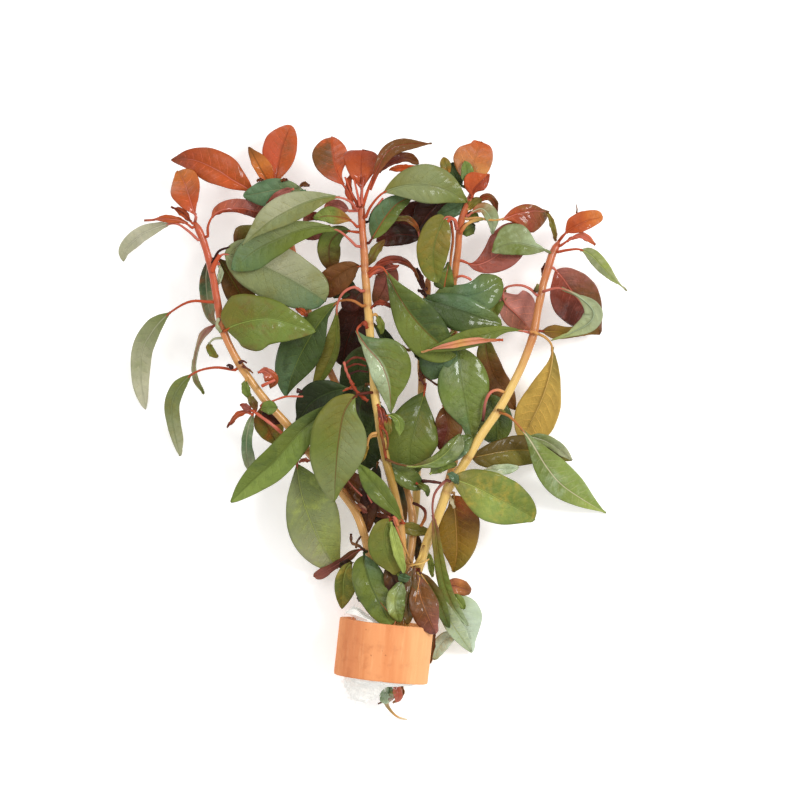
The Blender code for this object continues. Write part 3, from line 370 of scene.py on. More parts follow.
LEFT_LEAVES = (
    Leaf("dark_bud", "rust", "brick rust brick", "coral maroon", "wine",
         ((193, 224, 27), (184, 214, 26.5), (178, 210, 25), (171, 206.5, 23.5)),
         (2.5, 3.5, 2), (3, 4, 2), stalk=0.1),
    Leaf("sliver", "rust", "rust rust pink", "coral pink", "umber",
         ((192, 228, 27.5), (184, 222, 27.5), (174, 219.5, 27), (161, 219, 26), (144, 220.5, 24)),
         (3.5, 3.5, 1), (3, 4, 1.2), stalk=0.12, ends=(0.7, 1.1)),
    Leaf("hidden_olive", "olive", "maroon olive moss", "wine olive", "pine",
         ((213, 262, 27), (219, 251, 28), (231, 246.5, 28.5), (241, 240, 28), (256, 233, 26.5),
          (275, 228, 24)),
         (13, 10, 6), (5, 5, 4), stalk=0.4),
    Leaf("thin_curl", "rust", "mauve ash moss", "brick mauve", "umber",
         ((219, 324, 24.5), (210, 328, 23), (203, 335, 20), (198, 346, 18), (195, 356, 16),
          (194, 368, 14), (196, 381, 12), (204, 394, 9)),
         (2.8, 1.6, 3.2), (3.4, 1.6, 2.6), stalk=0.06, ends=(0.5, 0.7)),
    Leaf("tiny_olive", "olive", "olive moss olive", "ash olive", "rust",
         ((222, 338, 24), (214, 339, 23), (209.5, 344, 22), (211, 351, 20.5), (217, 357.5, 19)),
         slim(8), slim(8), stalk=0.45, ends=(0.8, 0.4)),
    Leaf("behind", "sage", "wine teal ash", "brick ash", "rust",
         ((210, 255, 22), (206, 275, 20.5), (207, 295, 19), (210, 312, 18), (217, 327, 17)),
         (10, 12, 6), (5, 7, 6), stalk=0.02),
    Leaf("shade", "olive", "bronze umber bronze", "umber olive", "deep",
         ((219, 258, 22.5), (232, 280, 21), (243, 300, 18), (250, 322, 15)),
         (12, 15, 12), (10, 14, 12), stalk=0.02),
    Leaf("curled_edge", "sage", "ash mint ash", "pink ash", "sage",
         ((219, 263, 26.5), (220.5, 271, 26), (219.5, 279, 25), (217, 287, 24)),
         (2.5, 3, 2), (2, 2.5, 1.5), stalk=0.05),
    Leaf("pale_edge", "sage", "sage teal ash", "pink ash", "mint",
         ((254, 411, 22.5), (249, 425, 20), (246.5, 440, 17), (247, 455, 13), (252, 475, 9)),
         (5, 6, 7), (4, 5, 5), stalk=0.04),
    Leaf("shoot_narrow", "rust", "coral rust maroon", "coral pink", "umber",
         ((253, 415, 24.5), (245, 412, 25), (236, 416, 24.5), (227, 428, 22)),
         (2.4, 2.8, 1.8), (2.2, 2.6, 1.6), stalk=0.08, ends=(0.8, 0.9)),
    Leaf("shoot_bud", "rust", "brick mauve brick", "coral mauve", "wine",
         ((252, 411, 25.5), (247, 408, 26.5), (241, 404, 27)),
         slim(7), slim(7), stalk=0.05, ends=(0.7, 0.5)),
    Leaf("shoot_olive", "olive", "umber bronze olive", "brick umber", "maroon",
         ((256, 411, 25), (254, 404, 26), (249, 396, 26)),
         slim(9), slim(8), stalk=0.05, ends=(0.6, 0.5)),
    Leaf("shoot_round", "green", "moss green green", "olive moss", "pine",
         ((261, 410, 26), (266, 408, 26.5), (271, 407.5, 26.5), (277, 408, 26)),
         slim(14), slim(14), stalk=0.05, ends=(0.5, 0.45)),
    Leaf("side_green", "green", "moss green moss", "tan moss", "pine",
         ((246, 380, 26), (245.5, 385, 26.3), (246.5, 391, 25.5), (249.5, 398, 24.5)),
         slim(8), slim(9), stalk=0.04, ends=(0.6, 0.6)),
    Leaf("curled_rust", "rust", "pink rust umber", "coral pink", "maroon",
         ((258, 372.5, 27), (264, 371, 27.5), (271, 375, 27.5), (274, 381, 26.5), (270, 388, 25.5)),
         (4, 5, 4), (6, 9, 7), stalk=0.04, ends=(0.6, 0.5), wet=0.9),
    Leaf("shade_maroon", "wine", "wine maroon wine", "maroon wine", "deep",
         ((262, 411, 19), (272, 417, 18.5), (281, 423, 18)),
         slim(14), slim(12), stalk=0.04, ends=(0.5, 0.5)),
)

LEFT_TWIGS = (
    Twig("coral pink coral", 0.6, 0.5, ((287, 438, 22), (275, 427, 23.5), (263, 418, 24.5), (252, 410, 25)),
         0.08, 4),
    Twig("coral coral", 0.8, 0.8, ((212, 272, 27.5), (215, 263, 28), (220, 255, 28.2)), 0.1, 1),
    Twig("coral pink", 0.6, 0.5, ((262, 386, 26.5), (268, 383, 27.5), (275, 380, 27)), 0, 1),
    Twig("wine wine", 0.8, 0.4, ((232, 368, 25.5), (229, 365, 26.5), (227, 366, 27)), 0.2, 1),
    Twig("wine maroon", 0.6, 0.3, ((239, 363, 26), (243, 361, 26.5), (247, 363, 26.5)), 0.2, 1),
    Twig("maroon umber", 0.5, 0.3, ((243, 366, 26), (248, 369, 26.5), (253, 373, 26)), 0.2, 2),
    Twig("pink coral pink", 0.35, 0.35,
         ((268, 403, 24), (278, 399, 24.5), (287, 396.5, 24.5), (303, 396.5, 23.5)), 0.1, 3),
    Twig("wine wine", 0.9, 0.5, ((297, 390.5, 24), (300, 391, 24.2), (302, 392, 24)), 0.1, 1),
    Twig("ash sage", 0.5, 0.8, ((219, 318, 26.5), (217, 325, 26), (221, 332, 25.5)), 0.2, 2),
)

REAR_LEAVES = (
    Leaf("tip_small", "rust", "ember amber umber", "coral umber", "umber",
         ((271, 187, 22), (263, 173, 23.5), (256, 160, 23.5), (249, 147, 21.5)),
         (5, 6, 5), (10, 11, 7), stalk=0.04, ends=(0.5, 0.5)),
    Leaf("wine_strip", "rust", "mauve mauve brick", "pink mauve", "wine",
         ((294, 189, 29), (284, 192, 29.6), (275, 198, 29.4), (267, 205, 28.6)),
         slim(9), slim(8), stalk=0.05, ends=(0.7, 0.7)),
    Leaf("brown_bit_near", "rust", "maroon umber maroon", "umber umber", "wine",
         ((300, 186, 29), (304, 184, 29.4), (309, 186, 29)), slim(5), slim(5), stalk=0.05,
         ends=(0.5, 0.5)),
    Leaf("brown_bit_middle", "rust", "maroon brick maroon", "umber umber", "wine",
         ((281, 181, 29), (284, 179.5, 29.2), (287, 180, 28.8)), slim(3), slim(3), stalk=0.05,
         ends=(0.5, 0.5)),
    Leaf("brown_bit_far", "rust", "maroon brick maroon", "umber umber", "wine",
         ((257, 181, 28), (260, 179.5, 28.4), (263, 180, 28.2)), slim(3), slim(3), stalk=0.05,
         ends=(0.5, 0.5)),
    Leaf("rust_bits", "rust", "maroon rust maroon", "brick rust", "wine",
         ((296, 309, 26), (301, 311, 26.5), (307, 316, 26)), slim(7), slim(6), stalk=0.05,
         ends=(0.5, 0.5)),
    Leaf("salmon_edge", "rust", "pink pink coral", "pink pink", "cream",
         ((299, 462, 24), (304, 460, 24.5), (310, 461, 24)), slim(4), slim(4), stalk=0.05,
         ends=(0.5, 0.5)),
)

MIDDLE_TIP_LEAVES = (
    Leaf("arch_upper", "rust", "brick umber umber", "coral brick", "bronze",
         ((364, 203, 33), (370, 185, 36), (377, 170, 37), (384, 156, 36.5), (393, 148, 35),
          (407, 144, 33.5), (432, 143.5, 29)),
         (4, 7, 4.5), (5, 7.5, 5.5), stalk=0.2, ends=(0.8, 1.0), wave=0.3),
    Leaf("arch_lower", "rust", "brick maroon umber", "coral maroon", "wine",
         ((370, 190, 34), (379, 172, 34), (388, 164, 33.5), (398, 159, 33), (408, 158, 32),
          (419, 163, 30)),
         (2, 5, 5.5), (3, 4, 4), stalk=0.3, ends=(0.8, 0.5)),
    Leaf("arch_rust", "rust", "rust ember rust", "coral ember", "umber",
         ((420, 167, 31), (408, 168, 31.5), (398, 168, 31.5), (389, 170, 31.5)),
         slim(8), slim(7), stalk=0.05, ends=(0.5, 0.9)),
    Leaf("orange_strip", "rust", "coral brick rust", "coral rust", "maroon",
         ((353, 208, 33.5), (349, 193, 34.5), (349, 183, 34), (351, 174, 32.5)),
         slim(7), slim(6), stalk=0.1, ends=(0.8, 0.6)),
    Leaf("small_green", "green", "rust moss green", "coral brick", "lime",
         ((357, 227, 32.5), (351, 221, 33.3), (341, 217.5, 33.8), (327, 216, 33.8), (314, 218.5, 33.4)),
         (6, 8, 5), (6, 9.5, 8), stalk=0.18, ends=(0.7, 0.6)),
    Leaf("maroon_behind", "wine", "wine maroon wine", "maroon maroon", "wine",
         ((437, 204, 21), (420, 212, 21), (400, 222, 20.5), (380, 234, 20)), slim(30), slim(28),
         stalk=0.03, ends=(0.5, 0.5), wet=0.5),
    Leaf("green_behind_cap", "dark", "pine teal pine", "moss pine", "deep",
         ((468, 198, 27), (458, 206, 27.5), (446, 212, 27.5), (438, 215, 27)), slim(17), slim(15),
         stalk=0.05, ends=(0.5, 0.5)),
    Leaf("mauve_bit", "rust", "mauve mauve pink", "pink mauve", "wine",
         ((349, 211, 32), (337, 206, 32.5), (324, 207, 32)), slim(14), slim(13), stalk=0.04,
         ends=(0.6, 0.6)),
    Leaf("mauve_far", "rust", "mauve brick mauve", "pink mauve", "wine",
         ((322, 218, 31), (312, 216, 31), (303, 220, 30.5)), slim(9), slim(9), stalk=0.04,
         ends=(0.6, 0.6)),
    Leaf("green_wine", "wine", "pine moss maroon", "coral maroon", "wine",
         ((356, 232, 30), (342, 231.5, 29), (331, 241, 27), (329, 255, 25), (332, 271, 22)),
         (7, 11, 11), (9, 12, 10), stalk=0.1, ends=(0.8, 0.4)),
    Leaf("dark_under_rib", "dark", "pine pine teal", "wine pine", "deep",
         ((367, 222, 29), (375, 218, 29), (384, 210, 29), (395, 203, 28)),
         slim(17), slim(15), stalk=0.05, ends=(0.6, 0.5)),
    Leaf("purple_brown", "wine", "umber mauve umber", "coral maroon", "wine",
         ((370, 268, 27), (385, 271, 25), (385, 286, 22), (375, 305, 19)),
         slim(25), slim(23), stalk=0.06, ends=(0.6, 0.5)),
    Leaf("maroon_arch", "wine", "brick maroon umber", "coral brick", "wine",
         ((369, 270, 31), (380, 264, 31.5), (392, 260.5, 31), (404, 262, 30.5), (413, 269, 29.5),
          (419, 280, 27)),
         (5, 4.5, 2), (3, 2.5, 1.6), stalk=0.1, ends=(0.7, 0.7)),
    Leaf("rust_arch_low", "rust", "brick maroon brick", "coral pink", "wine",
         ((370, 275, 30.5), (379, 272, 31), (388, 269, 31), (399, 266, 30.5)),
         slim(8), slim(7), stalk=0.15, ends=(0.7, 0.8)),
    Leaf("wine_sliver", "wine", "wine maroon wine", "maroon wine", "deep",
         ((424, 291, 24), (421, 280, 24), (417, 268, 23)), slim(7), slim(6), stalk=0.04),
    Leaf("dark_hook", "wine", "wine wine wine", "wine wine", "deep",
         ((418, 290, 24), (422, 292, 24.5), (427, 297, 24)), slim(5), slim(4), stalk=0.04),
    Leaf("small_olive", "olive", "olive moss moss", "tan olive", "lime",
         ((376, 314, 31), (379, 319, 31.5), (381.5, 326, 31.2), (381.5, 334, 30)),
         slim(7), slim(8), stalk=0.08, ends=(0.8, 0.6)),
    Leaf("dark_olive", "dark", "pine deep pine", "bronze pine", "deep",
         ((374, 324, 27), (380, 331, 26), (388, 341, 24), (397, 354, 22)),
         slim(12), slim(10), stalk=0.04),
    Leaf("thin_rust", "rust", "maroon brick maroon", "brick brick", "wine",
         ((371, 308, 31.5), (376, 304, 32), (383, 303, 31.5), (391, 307, 31)),
         slim(6), slim(5), stalk=0.1),
    Leaf("dark_right_bit", "dark", "deep pine deep", "umber pine", "wine",
         ((412, 346, 24), (418, 352, 24), (424, 362, 23)), slim(11), slim(10), stalk=0.04),
    Leaf("olive_arc", "olive", "coral umber olive", "pink umber", "moss",
         ((420, 237, 26), (416, 226, 27.5), (408, 219.5, 28.5), (397, 219, 28.5), (389, 224, 27.5)),
         (2.4, 2.6, 2), (2.6, 3, 2.2), stalk=0.1),
    Leaf("stem_shade", "dark", "pine deep pine", "umber pine", "wine",
         ((366, 384, 26), (362, 398, 26), (360, 412, 25), (364, 428, 24)), slim(28), slim(26),
         stalk=0.03, ends=(0.5, 0.5)),
    Leaf("dark_low_right", "dark", "pine moss pine", "umber moss", "deep",
         ((388, 464, 27), (398, 471, 27), (410, 480, 26.5), (424, 488, 25)),
         slim(22), slim(20), stalk=0.05, ends=(0.6, 0.7), wet=0.8),
)

MIDDLE_TIP_TWIGS = (
    Twig("coral pink", 0.5, 0.4, ((372, 213, 32.5), (378, 205, 33), (383, 198, 33)), 0.15, 2),
    Twig("brick coral", 0.6, 0.3, ((358, 206, 33), (351, 192, 34.5), (345, 177, 34.5)), 0.05, 1),
    Twig("coral coral", 0.6, 0.3, ((363, 206, 33.5), (367, 192, 35), (373, 176, 35.2)), 0.05, 1),
    Twig("pink coral", 0.5, 0.3, ((360, 206, 34), (357, 192, 35.5), (354, 179, 35)), 0.05, 1),
    Twig("pink brick", 0.5, 0.3, ((362, 204, 34.5), (362, 192, 35.8), (364, 176, 35.6)), 0.05, 1),
    Twig("coral pink", 0.6, 0.5, ((369, 277, 31.5), (375, 271, 32.5), (384, 268, 33)), 0, 1),
    Twig("brick brick", 0.8, 0.7, ((364, 322, 32.5), (366, 325, 33), (367, 328, 32.5)), 0.2, 1),
    Twig("pink brick brick", 0.4, 0.65,
         ((344, 362, 29), (346, 370, 30), (349, 377, 30.5), (353, 386, 31), (359, 394, 31.5),
          (368, 401, 31.5)), 0.25, 7),
    Twig("brick coral", 0.4, 0.3, ((354, 383, 31), (350, 388, 30.5), (343, 391, 29.5)), 0.15, 3),
    Twig("maroon brick", 0.4, 0.4, ((345, 364, 28), (353, 358, 28.5), (361, 358, 28.5), (369, 362, 28)),
         0.2, 3),
    Twig("maroon brick", 0.4, 0.3, ((346, 368, 27), (356, 364, 27.5), (366, 366, 27.5)), 0.2, 3),
    Twig("wine maroon", 0.4, 0.3, ((350, 374, 26), (358, 371, 26.5), (368, 372, 26.5)), 0.2, 3),
    Twig("umber maroon", 0.35, 0.5, ((421, 352, 23), (420, 366, 22), (421, 377, 21), (424, 384, 20)),
         0.2, 4),
    Twig("umber maroon", 0.35, 0.4, ((419, 376, 20), (427, 378, 20), (434, 383, 20), (441, 387, 19)),
         0.1, 3),
    Twig("umber olive", 0.6, 0.4, ((401, 346, 24), (408, 350, 24), (414, 349, 24), (420, 356, 23)),
         0.15, 3),
)

MIDDLE_LOW_LEAVES = (
    Leaf("gloss_strip", "green", "umber moss moss / moss green sage", "umber lime", "pine",
         ((386, 459, 30), (398, 464, 31), (415, 466.5, 31.5), (433, 462, 31.5), (448, 451, 31),
          (460, 434, 30)),
         (3.5, 6, 6), (2.5, 8, 12), stalk=0.22, ends=(0.9, 0.6), wet=1, wave=0.7),
    Leaf("gloss_mess_low", "green", "moss green moss", "lime moss", "pine",
         ((430, 474, 29), (438, 468, 30), (447, 464, 30), (456, 466, 29)),
         slim(14), slim(12), stalk=0.04, ends=(0.6, 0.5), wet=1, wave=0.8),
    Leaf("gloss_mess_high", "green", "moss teal moss", "lime moss", "pine",
         ((438, 461, 29), (448, 454, 29.5), (459, 446, 29.5), (472, 437, 28)),
         slim(20), slim(22), stalk=0.04, ends=(0.6, 0.5), wet=1, wave=0.8),
    Leaf("shoot_green", "green", "moss green bright", "coral lime", "pine",
         ((384, 416, 31.5), (391, 415.5, 32.5), (398, 420, 32.5), (400, 428, 31.5), (399, 436, 30)),
         (3, 5, 4), (3.5, 5.5, 4.5), stalk=0.1, ends=(0.7, 0.6)),
    Leaf("shoot_olive", "olive", "rust olive olive", "coral olive", "umber",
         ((383, 413, 31), (387, 420, 32), (388, 430, 31.5), (386, 437, 30.5)),
         slim(8), slim(7), stalk=0.1),
    Leaf("shoot_maroon", "rust", "brick maroon rust", "coral pink", "wine",
         ((378, 405, 31), (381, 412, 32), (383, 421, 32), (384, 430, 31)),
         slim(9), slim(7), stalk=0.05),
    Leaf("tan_round", "olive", "tan ochre olive", "tan olive", "golden",
         ((372, 436, 29.5), (366, 442, 29.5), (363, 452, 28.5), (360, 463, 27)),
         slim(9), slim(9), stalk=0.15, ends=(0.6, 0.5)),
    Leaf("wine_brown", "wine", "maroon umber maroon", "pink umber", "wine",
         ((392, 520, 15), (378, 506, 15.5), (364, 492, 15.5), (350, 480, 14.5), (340, 468, 13)),
         slim(26), slim(24), stalk=0.04, ends=(0.5, 0.6), wet=0.7),
    Leaf("low_olive", "olive", "ochre olive olive", "tan olive", "bronze",
         ((392, 528, 20.5), (404, 528, 20.8), (416, 530, 20), (430, 533, 18.5)),
         slim(13), slim(12), stalk=0.05, ends=(0.6, 0.6)),
    Leaf("hook_leaf", "green", "bronze moss pine", "brick moss", "deep",
         ((416, 483, 27), (422, 486, 27.5), (427, 490.5, 27), (426.5, 496, 26)),
         slim(7), slim(6), stalk=0.08, wet=0.6),
    Leaf("node_bit", "sage", "teal teal pine", "teal teal", "deep",
         ((448, 474, 31.5), (451, 475, 32), (455, 479, 31.8), (457, 484, 31)),
         slim(9), slim(8), stalk=0.04, ends=(0.5, 0.5), wet=0.8),
    Leaf("debris", "rust", "mauve brick mauve", "pink mauve", "cream",
         ((354, 505, 17), (360, 507, 17.5), (367, 513, 17)), slim(7), slim(6), stalk=0.04),
    Leaf("dark_corner", "dark", "deep wine deep", "maroon wine", "maroon",
         ((372, 512, 15), (384, 520, 14.5), (392, 532, 13.5)), slim(22), slim(20), stalk=0.04),
)

MIDDLE_LOW_TWIGS = (
    Twig("brick rust umber brick", 0.55, 0.5,
         ((379, 408, 31), (380, 420, 31.5), (381, 432, 31), (384, 446, 30.5), (386, 458, 30)),
         0.18, 6),
    Twig("brick umber", 0.4, 0.35, ((381, 427, 32), (386, 432, 32.5), (388, 441, 32), (387, 450, 31.5)),
         0.15, 4),
    Twig("tan tan", 0.5, 0.4, ((377, 433, 30), (372, 434, 30.5), (369, 438, 30), (367, 446, 29)), 0, 1),
    Twig("wine maroon fawn", 0.5, 0.6,
         ((413, 503, 21), (420, 506, 22), (425, 511, 22), (425, 518, 21.5), (421, 526, 20)), 0.1, 3),
    Twig("wine maroon", 0.6, 0.5, ((422, 481, 26), (431, 481.5, 26.5), (441, 483, 27)), 0.1, 2),
    Twig("pink mauve", 0.3, 0.2, ((362, 496, 17.5), (352, 486, 17), (345, 476, 16)), 0, 1),
    Twig("pink mauve", 0.3, 0.2, ((372, 503, 17.5), (368, 496, 17.6), (366, 487, 17.4)), 0, 1),
    Twig("fawn umber fawn", 0.5, 0.5, ((344, 489, 19.5), (352, 500, 20), (361, 511, 20)), 0.12, 4),
    Twig("pink fawn", 0.6, 0.55, ((394, 516, 29.3), (396, 520, 29.5), (398, 526, 29.4)), 0.1, 1),
    Twig("pink fawn tan umber", 0.42, 0.35,
         ((394, 519, 29.2), (398, 532, 28.8), (405, 548, 27.5), (411, 563, 25.5)), 0.12, 5),
)

TALL_LEAVES = (
    Leaf("tip_olive", "rust", "amber olive ochre", "umber olive", "umber",
         ((448, 175, 27.5), (446, 167, 28), (443.5, 157, 27)), slim(11), slim(11), stalk=0.05,
         ends=(0.5, 0.7)),
    Leaf("tip_green", "green", "moss green green", "lime moss", "teal",
         ((470, 184, 31), (467, 177, 31.8), (467, 170, 31.5), (465, 161, 30)), slim(12), slim(13),
         stalk=0.05, ends=(0.5, 0.6)),
    Leaf("tip_dark", "dark", "deep pine deep", "pine pine", "deep",
         ((462, 186, 27.5), (457, 178, 28), (454, 170, 27.5), (452, 163, 26.5)), slim(13),
         slim(13), stalk=0.05, ends=(0.5, 0.6)),
    Leaf("rust_curl", "rust", "brick umber maroon", "coral brick", "wine",
         ((474, 206, 28), (481, 199.5, 28.8), (488, 196.5, 28.6), (494, 202, 27.5), (497, 214, 25)),
         (3, 3.5, 3), (3, 3.5, 2.5), stalk=0.1),
    Leaf("olive_dark", "olive", "ochre olive bronze", "tan olive", "umber",
         ((468, 210, 28.5), (474, 203, 29), (482, 199, 28.8)), slim(10), slim(9), stalk=0.05,
         ends=(0.6, 0.5)),
    Leaf("pale_mint", "mint", "coral sage mint", "pink mint", "ash",
         ((468, 216, 28.5), (474, 211, 29.4), (483, 209, 29.3), (491, 219, 28), (493, 234, 25)),
         (6, 9, 6), (3.5, 5, 4), stalk=0.1, ends=(0.8, 0.6)),
    Leaf("dark_near", "dark", "pine moss pine", "bronze pine", "deep",
         ((466, 214, 26), (471, 216, 26), (478, 222, 25)), slim(12), slim(10), stalk=0.04),
    Leaf("dark_low", "dark", "pine moss deep", "bronze pine", "deep",
         ((460, 232, 25.5), (467, 230, 25.5), (475, 226, 25)), slim(15), slim(13), stalk=0.04,
         ends=(0.5, 0.5)),
    Leaf("brown_strip", "olive", "ochre olive umber", "umber olive", "umber",
         ((547, 211, 25), (550, 218, 25), (553, 227, 24.5), (556, 241, 23)), slim(6), slim(5),
         stalk=0.04, ends=(0.6, 0.8)),
    Leaf("maroon_low", "wine", "wine wine maroon", "maroon maroon", "deep",
         ((422, 237, 22), (410, 235, 22.3), (396, 235, 22), (377, 242, 21)), slim(22), slim(21),
         stalk=0.03, ends=(0.5, 0.5), wet=0.5),
    Leaf("dark_wide", "dark", "pine teal moss / pine pine moss", "teal pine", "pine",
         ((423, 299, 27.4), (440, 304, 28.6), (462, 311, 28.8), (482, 318, 28), (502, 324, 26.5)),
         (13, 15, 12), (17, 21, 15), stalk=0.02, ends=(0.5, 0.5), wet=0.6),
    Leaf("olive_edge", "olive", "olive moss olive", "tan olive", "pine",
         ((506, 288, 18), (500, 298, 18.5), (494, 309, 18.5), (489, 324, 17.5)), slim(14),
         slim(13), stalk=0.04, ends=(0.5, 0.5)),
    Leaf("orange_rib_leaf", "dark", "pine moss pine", "coral coral", "moss",
         ((444, 291, 25.5), (445, 283, 27), (447, 273, 27.5), (449, 262, 27)),
         (11, 8, 4), (9, 7, 4), stalk=0.05, ends=(0.4, 0.8)),
    Leaf("teal_low", "dark", "pine teal pine", "moss pine", "deep",
         ((431, 300, 20), (440, 308, 20), (447, 322, 19)), slim(18), slim(17), stalk=0.04),
    Leaf("behind_mint", "wine", "umber maroon umber", "brick maroon", "wine",
         ((549, 262, 20), (546, 268, 20), (543, 276, 19)), slim(9), slim(8), stalk=0.04),
)

TALL_TWIGS = (
    Twig("coral tan olive", 0.65, 0.5, ((460, 233, 28), (466, 225, 29), (473, 221, 29.3), (483, 219, 29)),
         0.05, 2),
    Twig("coral pink", 0.6, 0.5, ((447, 223, 31), (450, 219, 31.5), (455, 220, 31.5), (457, 227, 29.5)),
         0.05, 1),
    Twig("brick fawn", 0.5, 0.45, ((451, 221, 30), (453, 238, 28.5), (451, 256, 27), (450, 270, 26.5))),
    Twig("coral pink", 0.45, 0.45, ((457, 277, 27.5), (462, 276, 28.5), (468, 278, 28.3), (471, 280, 27.8))),
)

INNER_LEAVES = (
    Leaf("inner_teal", "sage", "teal teal pine", "lime teal", "pine",
         ((450, 334, 25.5), (441, 349, 26), (434, 364, 25), (431, 380, 23)), slim(33), slim(33),
         stalk=0.03, ends=(0.5, 0.6), wet=0.7),
    Leaf("inner_rust", "rust", "umber umber maroon / umber maroon maroon", "rust umber", "bronze",
         ((443, 405, 21.5), (447, 416, 22), (448, 430, 21.5), (441, 451, 20.5)), (13, 14, 10),
         (12, 13, 10), stalk=0.04, ends=(0.5, 0.5), wet=0.6),
    Leaf("inner_brown", "rust", "umber rust umber", "brick rust", "maroon",
         ((420, 380, 18), (424, 372, 19), (427, 366, 18.5)), slim(10), slim(9), stalk=0.04),
    Leaf("cream_sliver", "mint", "tan cream cream", "tan cream", "mint",
         ((449, 494, 25), (451, 500, 25.5), (454, 508, 25)), slim(4), slim(3), stalk=0.04),
)

RIGHT_LEAVES = (
    Leaf("pink_sliver", "rust", "coral pink coral", "coral pink", "amber",
         ((560, 246, 21), (569, 240, 22), (577, 236, 22.5), (586, 237, 22.5), (595, 245, 21.5)),
         (1.5, 3, 3), (1.5, 3, 2.8), stalk=0.2, ends=(0.8, 0.6)),
    Leaf("crescent", "mint", "sage mint lime", "pink mint", "sage",
         ((545, 291, 24), (556, 288, 26), (566, 290, 27), (578, 296, 27), (590, 306, 26),
          (594, 315, 25), (588, 324, 24), (575, 331, 22), (562, 337, 21), (551, 341, 20)),
         (3.5, 9, 4), (3.5, 10, 4), stalk=0.15, ends=(0.9, 0.9), under=True),
    Leaf("brown", "rust", "umber ochre umber", "brick ochre", "bronze",
         ((540, 331, 19.5), (560, 332, 16), (580, 332, 12), (600, 334, 9)),
         (7, 5, 8), (7, 6, 3), stalk=0.03, ends=(0.7, 0.4)),
    Leaf("rust_behind", "rust", "moss umber umber umber", "brick umber", "bronze",
         ((485, 336, 15.5), (487, 355, 14), (494, 376, 11.5), (505, 393, 9.5), (515, 410, 7)),
         slim(24), slim(26), stalk=0.02, ends=(0.5, 0.8)),
    Leaf("dark_behind", "dark", "moss pine moss / pine moss pine", "moss pine", "deep",
         ((486, 394, 12), (492, 408, 11.5), (496, 424, 10.5), (496, 444, 9)), slim(34), slim(48),
         stalk=0.03, ends=(0.4, 0.5), wet=0.7),
    Leaf("wet_pale", "mint", "ash mint mint", "ash mint", "cream",
         ((484, 470, 21), (495, 470, 21), (508, 469, 20), (519, 467, 19)), slim(11), slim(11),
         stalk=0.04, ends=(0.5, 0.5), wet=1),
    Leaf("salmon_fold", "rust", "coral salmon salmon tan salmon salmon tan", "coral fawn", "pink",
         ((503, 340, 35.6), (486, 340, 36.8), (466, 342, 37.4), (447, 346, 37.2), (421, 352, 35.8)),
         (2.6, 3.8, 1.6), (2.2, 3.6, 1.6), stalk=0.03, ends=(0.8, 1.2)),
    Leaf("strap_back", "sage", "moss sage ash", "sage ash", "mint",
         ((528, 436, 17), (545, 441, 16), (558, 449, 14), (572, 460, 11)), slim(14), slim(9),
         stalk=0.03, ends=(0.6, 0.8)),
)

RIGHT_TWIGS = (
    Twig("umber umber", 0.35, 0.12, ((576.5, 213, 23), (577, 209, 23.5), (576, 204, 24)), 0, 1),
    Twig("tan pink mauve wine", 0.5, 0.55,
         ((504, 392, 25.5), (497, 390, 27), (490, 393, 27.5), (485.5, 402, 27), (484, 412, 26),
          (483, 421, 24.5)), 0.05, 3),
    Twig("wine olive", 0.9, 0.5, ((536, 291, 25), (537, 287, 26), (538, 284, 26)), 0.1, 1),
    Twig("fawn tan", 0.5, 0.5, ((530, 332, 26), (534, 332, 26.3), (538, 334, 26)), 0.15, 2),
    Twig("umber olive", 0.4, 0.4, ((497, 410, 27.6), (501, 410, 27.8), (505, 412, 27.4)), 0.15, 2),
)

